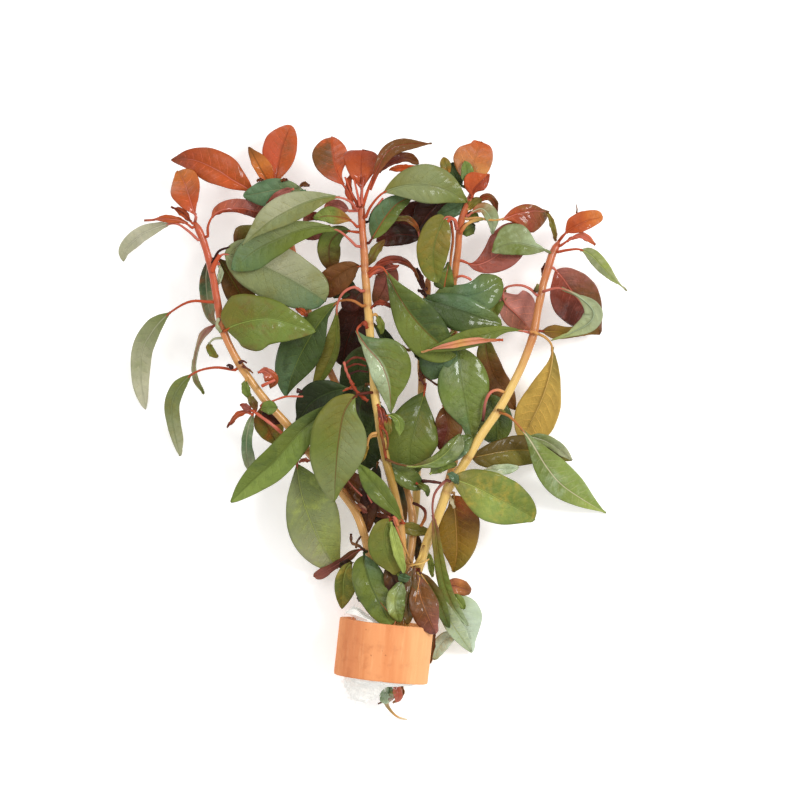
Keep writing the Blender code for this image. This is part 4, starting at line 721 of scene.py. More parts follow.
BASE_LEAVES = (
    Leaf("base_olive", "olive", "olive moss olive", "bronze lime", "golden",
         ((352, 562, 16.5), (346, 570, 16), (343.5, 582, 14.5), (343, 595, 12.5), (342, 609, 10)),
         (10, 13, 9), (7, 9, 7), stalk=0.02, ends=(0.5, 0.6)),
    Leaf("brown_flat", "rust", "umber maroon mauve", "brick mauve", "umber",
         ((362, 549, 16), (354, 553, 15), (344, 560, 12.5), (333, 567, 10), (323, 573, 7.5),
          (314, 577, 5.5)),
         (4.5, 3.5, 4.5), (4, 3.5, 5), stalk=0.05, ends=(0.6, 0.4)),
    Leaf("base_gloss", "green", "moss green moss / pine lime moss", "lime moss", "mint",
         ((402, 581, 26), (398, 591, 26.8), (395, 604, 27), (399, 622, 26)),
         slim(20), slim(18), stalk=0.03, ends=(0.4, 0.5), wet=1, wave=1.1),
    Leaf("base_wine", "wine", "umber umber mauve / umber umber maroon", "brick fawn", "mauve",
         ((415, 571, 23.5), (418, 584, 25), (421, 598, 26), (427, 614, 26.5), (436, 634, 24)),
         (11, 15, 11), (9, 14, 13), stalk=0.03, ends=(0.7, 0.35), wet=0.9, veins=0.9),
    Leaf("base_bronze", "olive", "umber bronze bronze", "tan bronze", "maroon",
         ((413, 564, 24), (411, 582, 25), (409, 600, 25.5), (408, 624, 25)),
         slim(15), slim(15), stalk=0.03, ends=(0.4, 0.4), wet=0.6),
    Leaf("base_green", "green", "umber bronze moss pine", "maroon olive", "wine",
         ((419, 571, 24.5), (428, 583, 24.5), (438, 600, 23), (449, 628, 18)),
         slim(14), slim(14), stalk=0.03, ends=(0.7, 0.5), wet=0.5),
    Leaf("mint_strap", "mint", "moss sage mint mint", "olive lime", "bone",
         ((430, 585, 22), (440, 600, 21), (450, 621, 17), (461, 637, 10), (471, 652, 5)),
         (5, 9, 8), (5, 8, 7), stalk=0.04, ends=(0.6, 0.7), wet=0.8, veins=1),
    Leaf("green_patch", "green", "moss bright green", "olive lime", "moss",
         ((452, 594, 16), (458, 600, 16), (464, 609, 15)), slim(11), slim(10), stalk=0.04),
    Leaf("pale_stripe", "green", "bright lime bright", "lime lime", "lime",
         ((391, 522, 30), (396, 545, 30), (404, 573, 28.5)), slim(11), slim(10), stalk=0.04),
    Leaf("base_salmon", "rust", "mauve fawn umber", "cream mauve", "mauve",
         ((445, 588, 14), (453, 586, 14), (461, 588, 13.5), (471, 592, 12.5)),
         slim(17), slim(16), stalk=0.03, ends=(0.25, 0.2), wet=0.5, veins=0.9),
    Leaf("base_lime", "green", "lime bright lime", "lime lime", "moss",
         ((428, 552, 20), (430, 560, 20), (431, 568, 19.5), (432, 577, 18.5)), slim(7), slim(6),
         stalk=0.03),
    Leaf("mint_back", "mint", "frost frost mint", "mint frost", "mint",
         ((457, 634, 9), (447, 638, 8), (439, 646, 6), (433, 659, 3.5)), slim(17), slim(15),
         stalk=0.03, ends=(0.3, 0.5)),
    Leaf("brown_edge", "rust", "maroon umber umber", "umber umber", "wine",
         ((433, 630, 16), (434, 640, 14.5), (432, 652, 12), (430, 663, 10)), slim(4), slim(3.5),
         stalk=0.03),
    # A leaf in the hollow among the stems' feet: its near-black colours are partly painted shade.
    Leaf("dark_hollow", "wine", "deep wine deep", "maroon wine", "umber",
         ((386, 566, 24), (392, 576, 24.3), (398, 590, 24), (402, 604, 23)), slim(24), slim(22),
         stalk=0.03, ends=(0.5, 0.5)),
    Leaf("dark_foot", "wine", "wine maroon wine", "maroon wine", "deep",
         ((357, 597, 18), (363, 600, 18), (372, 607, 17)), slim(9), slim(8), stalk=0.03),
    Leaf("dark_crumb", "wine", "deep wine deep", "maroon wine", "maroon",
         ((339, 567, 13.5), (346, 563, 14.2), (353, 563, 14.2)), slim(7), slim(6), stalk=0.03),
    Leaf("teal_bit", "sage", "teal pine teal", "moss teal", "deep",
         ((398, 575, 26.5), (403, 578, 27), (410, 578, 26.5)), slim(10), slim(9), stalk=0.03),
)

BASE_TWIGS = (
    Twig("wine umber wine", 0.45, 0.5,
         ((365, 551, 21), (359, 546, 21.5), (352, 543, 21), (351, 538, 21), (351, 534, 20.5)), 0.2, 4),
    Twig("umber wine", 0.4, 0.35, ((356, 548, 20.5), (357, 542, 21), (361, 536, 21)), 0.15, 3),
    Twig("tan straw tan", 0.3, 0.28,
         ((410, 566, 25), (416, 564.5, 25.8), (423, 563, 25.6), (429, 559, 24.5)), 0.1, 3),
    Twig("tan fawn", 0.14, 0.1, ((420, 577, 27.6), (418, 588, 28.4), (415, 602, 28.4)), 0.1, 3),
    Twig("tan fawn", 0.14, 0.1, ((421, 574, 28), (425, 580, 28.2), (428, 584, 27.8)), 0.1, 2),
    Twig("umber straw umber", 0.5, 0.4, ((414, 566, 24), (420, 556, 24.5), (424, 545, 24.5)), 0.1, 3),
    Twig("umber rust", 0.12, 0.1, ((380, 602, 26.4), (385, 608, 26.8), (390, 614, 26.8)), 0.1, 2),
)

# Low leaves deep inside the bunch. Their near-black colours are partly the leaves' own dark red and green and
# partly painted shade, for the deep shade in the middle of the bunch.
LOW_LEAVES = (
    Leaf("low_brown_rib", "rust", "umber olive umber", "brick umber", "bronze",
         ((366, 268, 28.5), (371, 259, 28.5), (377, 249, 28), (385, 240, 27)), slim(10), slim(9),
         stalk=0.04),
    Leaf("low_dark_stem", "dark", "bronze deep umber", "umber bronze", "deep",
         ((391, 466, 22), (397, 484, 21), (402, 503, 19.5), (406, 522, 18)), slim(10), slim(9),
         stalk=0.04),
    Leaf("low_dark_foot", "dark", "umber deep umber", "umber bronze", "wine",
         ((415, 530, 16.5), (417, 545, 16.5), (419, 563, 16.5)), slim(10), slim(9), stalk=0.04),
    Leaf("low_wine_foot", "wine", "deep wine umber", "umber wine", "maroon",
         ((378, 462, 21), (373, 484, 18), (368, 508, 16), (366, 534, 15.5)), slim(20), slim(18),
         stalk=0.04, ends=(0.5, 0.5)),
    Leaf("low_green_high", "dark", "pine deep pine", "umber pine", "deep",
         ((357, 290, 22.5), (345, 287, 22), (331, 285, 20.5), (318, 291, 18.5)), slim(26), slim(24),
         stalk=0.03, ends=(0.5, 0.5)),
    Leaf("low_wine_left", "wine", "maroon wine wine", "brick maroon", "deep",
         ((364, 296, 20), (356, 318, 16), (347, 342, 12), (342, 366, 8)), slim(42), slim(40),
         stalk=0.03, ends=(0.5, 0.6)),
    Leaf("low_green_left", "dark", "pine pine deep", "umber pine", "wine",
         ((370, 345, 22), (362, 362, 19), (354, 380, 16), (346, 396, 13)), slim(34), slim(34),
         stalk=0.03, ends=(0.5, 0.5)),
    Leaf("low_dark_middle", "dark", "deep pine deep", "umber deep", "pine",
         ((380, 402, 20), (374, 424, 17), (369, 446, 14), (366, 470, 10)), slim(34), slim(34),
         stalk=0.03, ends=(0.5, 0.5)),
    Leaf("low_mauve", "rust", "brick mauve maroon", "pink mauve", "wine",
         ((330, 226, 26), (318, 232, 24), (306, 238, 22)), slim(14), slim(14), stalk=0.05),
    Leaf("low_maroon_high", "wine", "wine maroon wine", "brick maroon", "deep",
         ((363, 290, 23), (356, 297, 22.5), (349, 303, 21.5), (342, 308, 20.5)), slim(22), slim(20),
         stalk=0.04, ends=(0.5, 0.5)),
)

FOOT_LEAVES = (
    Leaf("foot_green", "green", "pine teal mint", "wine mint", "mint",
         ((384, 680, 15), (386, 689, 14.5), (385, 697, 12), (387, 704, 9)), slim(14), slim(12),
         stalk=0.03, ends=(0.35, 0.35), wet=0.8, wave=1.0),
    Leaf("foot_green_fold", "mint", "ash mint teal", "pine mint", "pine",
         ((380, 682, 17), (384, 688, 16.5), (389, 693, 14.5)), slim(8), slim(7), stalk=0.03,
         ends=(0.4, 0.4), wet=0.8, wave=0.8),
    Leaf("foot_pink", "rust", "pink coral pink", "mauve pink", "cream",
         ((396, 682, 15.5), (397, 690, 15), (398, 696, 12.5), (397, 702, 10)), slim(10), slim(9),
         stalk=0.03, ends=(0.35, 0.35), wet=0.6),
    Leaf("foot_rim", "rust", "fawn umber fawn", "umber umber", "tan",
         ((402, 685, 13.5), (402.5, 692, 12.5), (400, 699, 10.5), (393, 703, 8.5)), slim(3), slim(3),
         stalk=0.03, ends=(0.5, 0.5)),
)

FOOT_TWIGS = (
    Twig("wine umber", 0.45, 0.25, ((387, 700, 8), (382, 702, 7), (378, 704, 6)), 0, 1),
)

# Each group: its name, its finish, its leaves and its twigs.
SPRIGS = (
    ("small_leaves_left", "leaf_olive", LEFT_LEAVES, LEFT_TWIGS),
    ("small_leaves_rear", "leaf_rust", REAR_LEAVES, ()),
    ("small_leaves_middle_tip", "leaf_rust", MIDDLE_TIP_LEAVES, MIDDLE_TIP_TWIGS),
    ("small_leaves_middle_low", "leaf_green", MIDDLE_LOW_LEAVES, MIDDLE_LOW_TWIGS),
    ("small_leaves_tall", "leaf_dark", TALL_LEAVES, TALL_TWIGS),
    ("small_leaves_inner", "leaf_sage", INNER_LEAVES, ()),
    ("small_leaves_right", "leaf_rust", RIGHT_LEAVES, RIGHT_TWIGS),
    ("small_leaves_base", "leaf_wine", BASE_LEAVES, BASE_TWIGS),
    ("low_shaded_leaves", "leaf_wine", LOW_LEAVES, ()),
    ("foot_remnants", "leaf_green", FOOT_LEAVES, FOOT_TWIGS),
)


def seen(colour):
    """A colour as the eye sees it, up to 255, as the linear one that shaders take."""
    linear = []
    for part in colour:
        share = part / 255
        linear.append(share / 12.92 if share < 0.04045 else ((share + 0.055) / 1.055) ** 2.4)
    return Vector(linear)


def at(x, y, height):
    """A plan point at a height in millimetres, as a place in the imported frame."""
    up = height * MM
    nearer = PLAN_STEP * (1 - up / EYE_HEIGHT)
    return Vector(((x - PLAN_CENTRE) * nearer, (PLAN_CENTRE - y) * nearer, up)) + PLAN_SHIFT


def plan_shift():
    """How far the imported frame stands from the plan, found from the ring's box."""
    low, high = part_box("ring")
    middle = (low + high) / 2
    x, y = RING_PLACE
    nearer = PLAN_STEP * (1 - middle.z / EYE_HEIGHT)
    return Vector((middle.x - (x - PLAN_CENTRE) * nearer, middle.y - (PLAN_CENTRE - y) * nearer, 0))


PLAN_SHIFT = plan_shift()


def smooth(points, count):
    """Points spread evenly along a smooth curve through the given ones, ends included."""
    given = [Vector(point) for point in points]
    padded = [2 * given[0] - given[1], *given, 2 * given[-1] - given[-2]]
    fine = []
    for a, b, c, d in zip(padded, padded[1:], padded[2:], padded[3:]):
        for step in range(CURVE_STEPS):
            t = step / CURVE_STEPS
            fine.append(0.5 * (2 * b + (c - a) * t + (2 * a - 5 * b + 4 * c - d) * t**2
                               + (3 * b - a - 3 * c + d) * t**3))
    fine.append(given[-1])
    lengths = [0.0]
    for a, b in zip(fine, fine[1:]):
        lengths.append(lengths[-1] + (b - a).length)
    spread = []
    place = 0
    for index in range(count):
        wanted = lengths[-1] * index / (count - 1)
        while place < len(lengths) - 2 and lengths[place + 1] < wanted:
            place += 1
        share = (wanted - lengths[place]) / max(lengths[place + 1] - lengths[place], 1e-9)
        spread.append(fine[place].lerp(fine[place + 1], min(max(share, 0), 1)))
    return spread


def between(values, share):
    """The value a share of the way along a row of values, numbers or vectors."""
    where = min(max(share, 0), 1) * (len(values) - 1)
    low = min(int(where), len(values) - 2)
    part = where - low
    return values[low] * (1 - part) + values[low + 1] * part


def eased(share):
    """A share from 0 to 1 that starts and ends softly."""
    held = min(max(share, 0), 1)
    return held * held * (3 - 2 * held)


def half_width(shape, ends, t):
    """A blade's half width at t of its length, through the three given ones."""
    if not 0 < t < 1:
        return 0.0
    full = [w / (q ** ends[0] * (1 - q) ** ends[1]) for w, q in zip(shape, (0.25, 0.5, 0.75))]
    early, middle, late = full
    through = (early * (t - 0.5) * (t - 0.75) * 8 - middle * (t - 0.25) * (t - 0.75) * 16
               + late * (t - 0.25) * (t - 0.5) * 8)
    held = min(max(through, LEAST_FULL * min(full)), MOST_FULL * max(full))
    return held * t ** ends[0] * (1 - t) ** ends[1]


class Wire:
    """A shader socket. Python's arithmetic on it adds Math nodes."""

    def __init__(self, paint, socket):
        self.paint = paint
        self.socket = socket

    def math(self, operation, *values):
        return self.paint.node("ShaderNodeMath", {"operation": operation}, dict(enumerate(values)))

    def __add__(self, other):
        return self.math("ADD", self, other)

    def __radd__(self, other):
        return self.math("ADD", other, self)

    def __sub__(self, other):
        return self.math("SUBTRACT", self, other)

    def __rsub__(self, other):
        return self.math("SUBTRACT", other, self)

    def __mul__(self, other):
        return self.math("MULTIPLY", self, other)

    def __rmul__(self, other):
        return self.math("MULTIPLY", other, self)

    def __truediv__(self, other):
        return self.math("DIVIDE", self, other)

    def __pow__(self, other):
        return self.math("POWER", self, other)

    def __abs__(self):
        return self.math("ABSOLUTE", self)


class Paint:
    """A material that is being made, around one Principled shader."""

    def __init__(self, name):
        self.material = bpy.data.materials.new(name)
        self.material.use_nodes = True
        self.tree = self.material.node_tree
        self.shader = self.tree.nodes["Principled BSDF"]

    def node(self, kind, settings=None, inputs=None, output=0):
        """Any node: its settings are made first, then its sockets. Returns the asked output."""
        made = self.tree.nodes.new(kind)
        for name, value in (settings or {}).items():
            setattr(made, name, value)
        for name, value in (inputs or {}).items():
            self.plug(made.inputs[name], value)
        return Wire(self, made.outputs[output])

    def plug(self, socket, value):
        if isinstance(value, Wire):
            self.tree.links.new(value.socket, socket)
        else:
            socket.default_value = value

    def mix(self, first, second, share, blend="MIX"):
        """Two colours, or a Wire and a colour, mixed by a share."""
        first, second = (
            (*part, 1) if isinstance(part, Vector) else part for part in (first, second))
        return self.node(
            "ShaderNodeMix", {"data_type": "RGBA", "blend_type": blend},
            {0: share, 6: first, 7: second}, output=2)

    def step(self, value, start, end, low=0.0, high=1.0):
        """A value eased from low to high as it goes from start to end."""
        return self.node(
            "ShaderNodeMapRange", {"interpolation_type": "SMOOTHSTEP"},
            {0: value, 1: start, 2: end, 3: low, 4: high})

    def noise(self, place, size, detail=3.0, roughness=0.5, distortion=0.0):
        """Cloudy noise whose clouds are about the given size in metres."""
        return self.node("ShaderNodeTexNoise", {}, {
            "Vector": place, "Scale": 1 / size, "Detail": detail, "Roughness": roughness,
            "Distortion": distortion})

    def cells(self, place, size, feature="DISTANCE_TO_EDGE", randomness=1.0):
        """How far a point is from its cell's edge or middle, for cells of the given size."""
        return self.node("ShaderNodeTexVoronoi", {"feature": feature}, {
            "Vector": place, "Scale": 1 / size, "Randomness": randomness})

    def place(self):
        return self.node("ShaderNodeTexCoord", output="Object")

    def attribute(self, name, output="Vector"):
        return self.node("ShaderNodeAttribute", {"attribute_name": name}, output=output)

    def parts(self, vector):
        """A vector's three numbers."""
        made = self.node("ShaderNodeSeparateXYZ", {}, {0: vector})
        return [Wire(self, output) for output in made.socket.node.outputs]

    def vector(self, x, y, z):
        return self.node("ShaderNodeCombineXYZ", {}, {0: x, 1: y, 2: z})

    def bump(self, height, distance, strength=1.0, under=None):
        inputs = {"Height": height, "Distance": distance, "Strength": strength}
        if under is not None:
            inputs["Normal"] = under
        return self.node("ShaderNodeBump", {}, inputs)

    def finish(self, **sockets):
        """Plugs the shader's sockets, named with _ for spaces, and returns the material."""
        for name, value in sockets.items():
            if isinstance(value, Vector):
                value = (*value, 1)
            self.plug(self.shader.inputs[name.replace("_", " ")], value)
        return self.material


def leaf_skin(settings):
    """Skin of a leaf and its stalk. It reads the leaf's own colours and where it is on the blade."""
    paint = Paint("leaf_skin")
    place = paint.place()
    length, across, t = paint.parts(paint.attribute("blade"))
    edge, under, wet = paint.parts(paint.attribute("state"))
    tint = paint.attribute("tint", "Color")
    rib_tint = paint.attribute("rib", "Color")
    blush = paint.attribute("blush", "Color")
    aside = abs(across)

    # Side veins leave the midrib in turn and bend towards the tip.
    wander = paint.noise(place, 5 * MM, 2) - 0.5
    phase = length - aside * 0.5 - aside * aside * 0.055 + wander * 1.6
    phase = phase / (settings.vein_spacing / MM)
    turn = phase + paint.step(across, -0.01, 0.01, 0, 0.5)
    from_vein = abs(paint.node("ShaderNodeMath", {"operation": "FRACT"}, {0: turn}) - 0.5)
    on_blade = paint.step(t, 0.0, 0.06) * paint.step(aside, 0.2, 1.0) * paint.step(edge, 0.98, 0.35)
    vein = paint.step(from_vein, 0.42, 0.5) * on_blade
    net = paint.step(paint.cells(place, 1.5 * MM), 0.12, 0.0) * on_blade
    rib_wide = 0.38 - t * 0.26
    midrib = paint.step(aside / rib_wide, 1.0, 0.55) * paint.step(t, 1.0, 0.8)

    clouds = paint.step(paint.noise(place, 8 * MM, 4, 0.62, 0.6), 0.46, 0.72)
    patches = paint.step(paint.noise(place, 2.4 * MM, 5, 0.68), 0.4, 0.72)
    grain = paint.noise(place, 0.5 * MM, 2)
    skin = paint.mix(tint, blush, clouds * 0.42 + patches * clouds * 0.3 + patches * 0.12)
    skin = paint.mix(skin, seen((24, 26, 10)), (1 - patches) * 0.12 + grain * 0.1)
    pale = paint.mix(skin, Vector((1.6, 1.5, 1.3)), 1.0, "MULTIPLY")
    pale = paint.mix(pale, rib_tint, 0.25)
    skin = paint.mix(skin, pale, (vein + net * 0.22) * paint.attribute("tint", "Alpha"))
    skin = paint.mix(skin, rib_tint, midrib * 0.55)
    rim = paint.step(edge, 0.93, 1.0) * on_blade
    skin = paint.mix(skin, seen((110, 70, 44)), rim * 0.35)
    specks = paint.step(paint.cells(place, 3.4 * MM, "F1"), 0.1, 0.03) * on_blade
    skin = paint.mix(skin, seen((70, 50, 34)), specks * 0.45)
    back = paint.mix(skin, seen((176, 160, 124)), 0.15)
    skin = paint.mix(skin, back, under)

    wetness = paint.step(paint.noise(place, 7 * MM, 3, 0.6), 0.62, 0.42) * wet
    streaked = paint.vector(length * 0.5 * MM, across * MM, 0.0)
    streaks = paint.noise(streaked, 1.1 * MM, 3, 0.6, 0.8) * wetness
    relief = (paint.noise(place, 1.8 * MM, 4, 0.6) * 0.5 + grain * 0.12 - vein * 0.35 - net * 0.2
              - midrib * 0.7)
    relief = relief * (1 - under * 1.7) + streaks * 1.8
    return paint.finish(
        Base_Color=skin,
        Roughness=0.56 - wetness * 0.2 + under * 0.12 + grain * 0.1,
        Coat_Weight=wetness * 0.75 * (1 - under * 0.7),
        Coat_Roughness=0.12,
        Specular_IOR_Level=0.22,
        Normal=paint.bump(relief, settings.vein_depth))


def stem_skin():
    """Skin of a stem: finely ribbed along its length, with red flecks and brown rings at nodes."""
    paint = Paint("stem_skin")
    place = paint.place()
    length, round_share, node = paint.parts(paint.attribute("blade"))
    tint = paint.attribute("tint", "Color")
    around = round_share * 2 * math.pi
    ring_x = paint.node("ShaderNodeMath", {"operation": "SINE"}, {0: around})
    ring_y = paint.node("ShaderNodeMath", {"operation": "COSINE"}, {0: around})
    grown = paint.vector(ring_x * 2.2, ring_y * 2.2, length * 0.09)
    fibres = paint.noise(grown, 0.42, 4, 0.6)
    flecks = paint.step(paint.noise(place, 1.6 * MM, 4, 0.7), 0.56, 0.74)
    skin = paint.mix(tint, seen((146, 72, 40)), flecks * 0.25 + node * 0.45)
    skin = paint.mix(skin, seen((238, 208, 148)), paint.step(fibres, 0.5, 0.8) * 0.4)
    skin = paint.mix(skin, seen((116, 78, 34)), paint.step(fibres, 0.5, 0.22) * 0.35)
    relief = fibres * 0.6 + paint.noise(place, 0.5 * MM, 3) * 0.25
    return paint.finish(
        Base_Color=skin, Roughness=0.42 + flecks * 0.12, Coat_Weight=0.5, Coat_Roughness=0.16,
        Specular_IOR_Level=0.3,
        Normal=paint.bump(relief, 0.25 * MM))


def clay_skin(settings):
    """Fired clay: streaked along the ring's axis and pitted, with painted light on its right side and a band of
    painted shade on its left.
    """
    paint = Paint("fired_clay")
    turned = paint.node(
        "ShaderNodeMapping", {},
        {"Vector": paint.place(), "Rotation": (0, 0, RING_LEAN)})
    x, y, z = paint.parts(turned)
    streaked = paint.vector(x, y * 0.08, z)
    streaks = paint.noise(streaked, 1.1 * MM, 4, 0.6)
    broad = paint.noise(streaked, 5 * MM, 2)
    grain = paint.noise(turned, 0.35 * MM, 3, 0.7)
    blotches = paint.noise(turned, 4 * MM, 4, 0.6)
    pits = paint.step(paint.cells(turned, 3.4 * MM, "F1"), 0.09, 0.03)
    # Across the ring from its left side (-1) to its right side (1), for the painted light and painted shade below.
    middle = (Matrix.Rotation(RING_LEAN, 4, "Z") @ ring_frame().translation).x
    side = (x - middle) / (RING_OUTER / 2)
    clay = paint.mix(seen(settings.clay_dark), seen(settings.clay), paint.step(broad, 0.3, 0.62))
    clay = paint.mix(clay, seen(settings.clay_pale), paint.step(streaks, 0.46, 0.78) * 0.5)
    clay = paint.mix(clay, seen((176, 96, 58)), paint.step(blotches, 0.5, 0.75) * 0.3)
    clay = paint.mix(clay, seen((250, 214, 176)), paint.step(grain, 0.62, 0.8) * 0.3)
    # Painted light: the right side paler and yellower, as if lit from the right.
    clay = paint.mix(clay, seen((255, 204, 142)), paint.step(side, 0.1, 0.95) * 0.42)
    # Painted shade: a darker band down the left side.
    clay = paint.mix(clay, seen((196, 106, 66)), paint.step(abs(side + 0.66), 0.3, 0.05) * 0.36)
    clay = paint.mix(clay, seen((150, 84, 52)), pits * 0.4)
    relief = grain * 0.5 + streaks * 0.5 - pits * 0.8
    return paint.finish(
        Base_Color=clay, Roughness=0.82 + grain * 0.12, Specular_IOR_Level=0.25,
        Normal=paint.bump(relief, 0.2 * MM))


def wool_skin(settings):
    """Packing wool: white fibres with a cream and a blue-grey cast, and a faint glow of its own that is painted
    light.
    """
    paint = Paint("packing_wool")
    place = paint.place()
    clumps = paint.noise(place, 3 * MM, 4, 0.6)
    fibres = paint.noise(place, 0.4 * MM, 5, 0.7, 2.0)
    wool = paint.mix(seen(settings.wool_shade), seen(settings.wool), paint.step(clumps, 0.3, 0.65))
    wool = paint.mix(wool, seen((250, 240, 214)), paint.step(fibres, 0.5, 0.75) * 0.5)
    return paint.finish(
        Base_Color=wool, Roughness=0.95, Specular_IOR_Level=0.1, Sheen_Weight=0.3,
        # Painted light: the wool glows faintly of its own, which lifts it out of the shade of the ring and the
        # leaves.
        Emission_Color=(1, 0.97, 0.91, 1), Emission_Strength=0.3,
        Normal=paint.bump(fibres + clumps, 0.5 * MM))


LAYERS = (("blade", "float_vector"), ("state", "float_vector"), ("tint", "float_color"),
          ("rib", "float_color"), ("blush", "float_color"))


class Growth:
    """A mesh that a plant's pieces are added to, with the values that their skins read."""

    def __init__(self):
        self.mesh = bmesh.new()
        for name, kind in LAYERS:
            getattr(self.mesh.verts.layers, kind).new(name)

    def write(self, vert, **values):
        layers = self.mesh.verts.layers
        for name, kind in LAYERS:
            if name in values:
                vert[getattr(layers, kind)[name]] = values[name]

    def grid(self, along, across):
        """A flat net of faces, as rows from foot to tip of vertices from right to left."""
        made = bmesh.ops.create_grid(self.mesh, x_segments=along, y_segments=across, size=1)["verts"]
        made.sort(key=lambda vert: (round(vert.co.x, 4), round(vert.co.y, 4)))
        wide = across + 1
        return [made[start:start + wide] for start in range(0, len(made), wide)]

    def tube(self, centres, radii, sides, paint_ring):
        """A closed round tube. paint_ring(index, vert, share round it) writes its values."""
        rows = self.grid(len(centres) - 1, sides)
        for index, (centre, row) in enumerate(zip(centres, rows)):
            ahead = centres[min(index + 1, len(centres) - 1)] - centres[max(index - 1, 0)]
            aside = ahead.cross(Vector((0, 0, 1)))
            aside = aside.normalized() if aside.length > 1e-9 else Vector((1, 0, 0))
            above = aside.cross(ahead).normalized()
            for place, vert in enumerate(row):
                turn = 2 * math.pi * place / sides
                vert.co = centre + radii[index] * (
                    aside * math.cos(turn) + above * math.sin(turn))
                paint_ring(index, vert, place / sides)
        verts = [vert for row in rows for vert in row]
        seam = [row[0] for row in rows] + [row[-1] for row in rows]
        bmesh.ops.remove_doubles(self.mesh, verts=seam, dist=1e-7)
        alive = [vert for vert in verts if vert.is_valid]
        open_edges = {edge for vert in alive for edge in vert.link_edges if edge.is_boundary}
        bmesh.ops.holes_fill(self.mesh, edges=list(open_edges), sides=0)
        faces = {face for vert in alive for face in vert.link_faces}
        bmesh.ops.recalc_face_normals(self.mesh, faces=list(faces))

    def shown(self, name, skin):
        """The finished piece, riding on the bunch."""
        data = bpy.data.meshes.new(name)
        self.mesh.to_mesh(data)
        self.mesh.free()
        return dressed(name, data, skin)


def dressed(name, data, skin):
    """An object from a mesh, with its skin, its finish's slot and its body."""
    data.shade_smooth()
    data.materials.append(skin)
    piece = bpy.data.objects.new(name, data)
    bpy.context.scene.collection.objects.link(piece)
    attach(piece, "root")
    return piece


def skin_named(name, maker, *given):
    """The material of this name, made the first time that it is asked for."""
    return bpy.data.materials.get(name) or maker(*given)


def ring_frame():
    """The ring's middle, with Y along its axis towards the leaves and Z up."""
    low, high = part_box("ring")
    return Matrix.Translation((low + high) / 2) @ Matrix.Rotation(-RING_LEAN, 4, "Z")


def bundle_place(degrees, along):
    """Where a stem runs inside the ring, a distance along the ring's axis from its middle."""
    turn = math.radians(degrees)
    return ring_frame() @ Vector((
        POCKET_ASIDE + BUNDLE_RADIUS * math.cos(turn), along,
        POCKET_UP + BUNDLE_RADIUS * math.sin(turn)))


def stem_line(stem):
    """Points along a stem's middle, from its growing tip to its cut foot inside the ring."""
    route = [at(*point) for point in stem.route]
    route += [bundle_place(stem.place_in_bundle, along)
              for along in (RING_LENGTH / 2, 0, BUNDLE_END)]
    length = sum((b - a).length for a, b in zip(route, route[1:]))
    return smooth(route, round(length / STEM_STEP))


STEM_LINES = {stem.name: stem_line(stem) for stem in STEMS}


def stem_near(place):
    """The nearest point of any stem's middle, if it is near enough for a stalk to join it there."""
    points = [point for line in STEM_LINES.values() for point in line]
    nearest = min(points, key=lambda point: (point - place).length)
    return nearest if (nearest - place).length < STALK_REACH else None


def leaf_tints(leaf):
    """The colours from foot to tip of a leaf's left half and of its right half."""
    halves = [[seen(PALETTE[word]) for word in half.split()] for half in leaf.colours.split(" / ")]
    return halves[0], halves[-1]


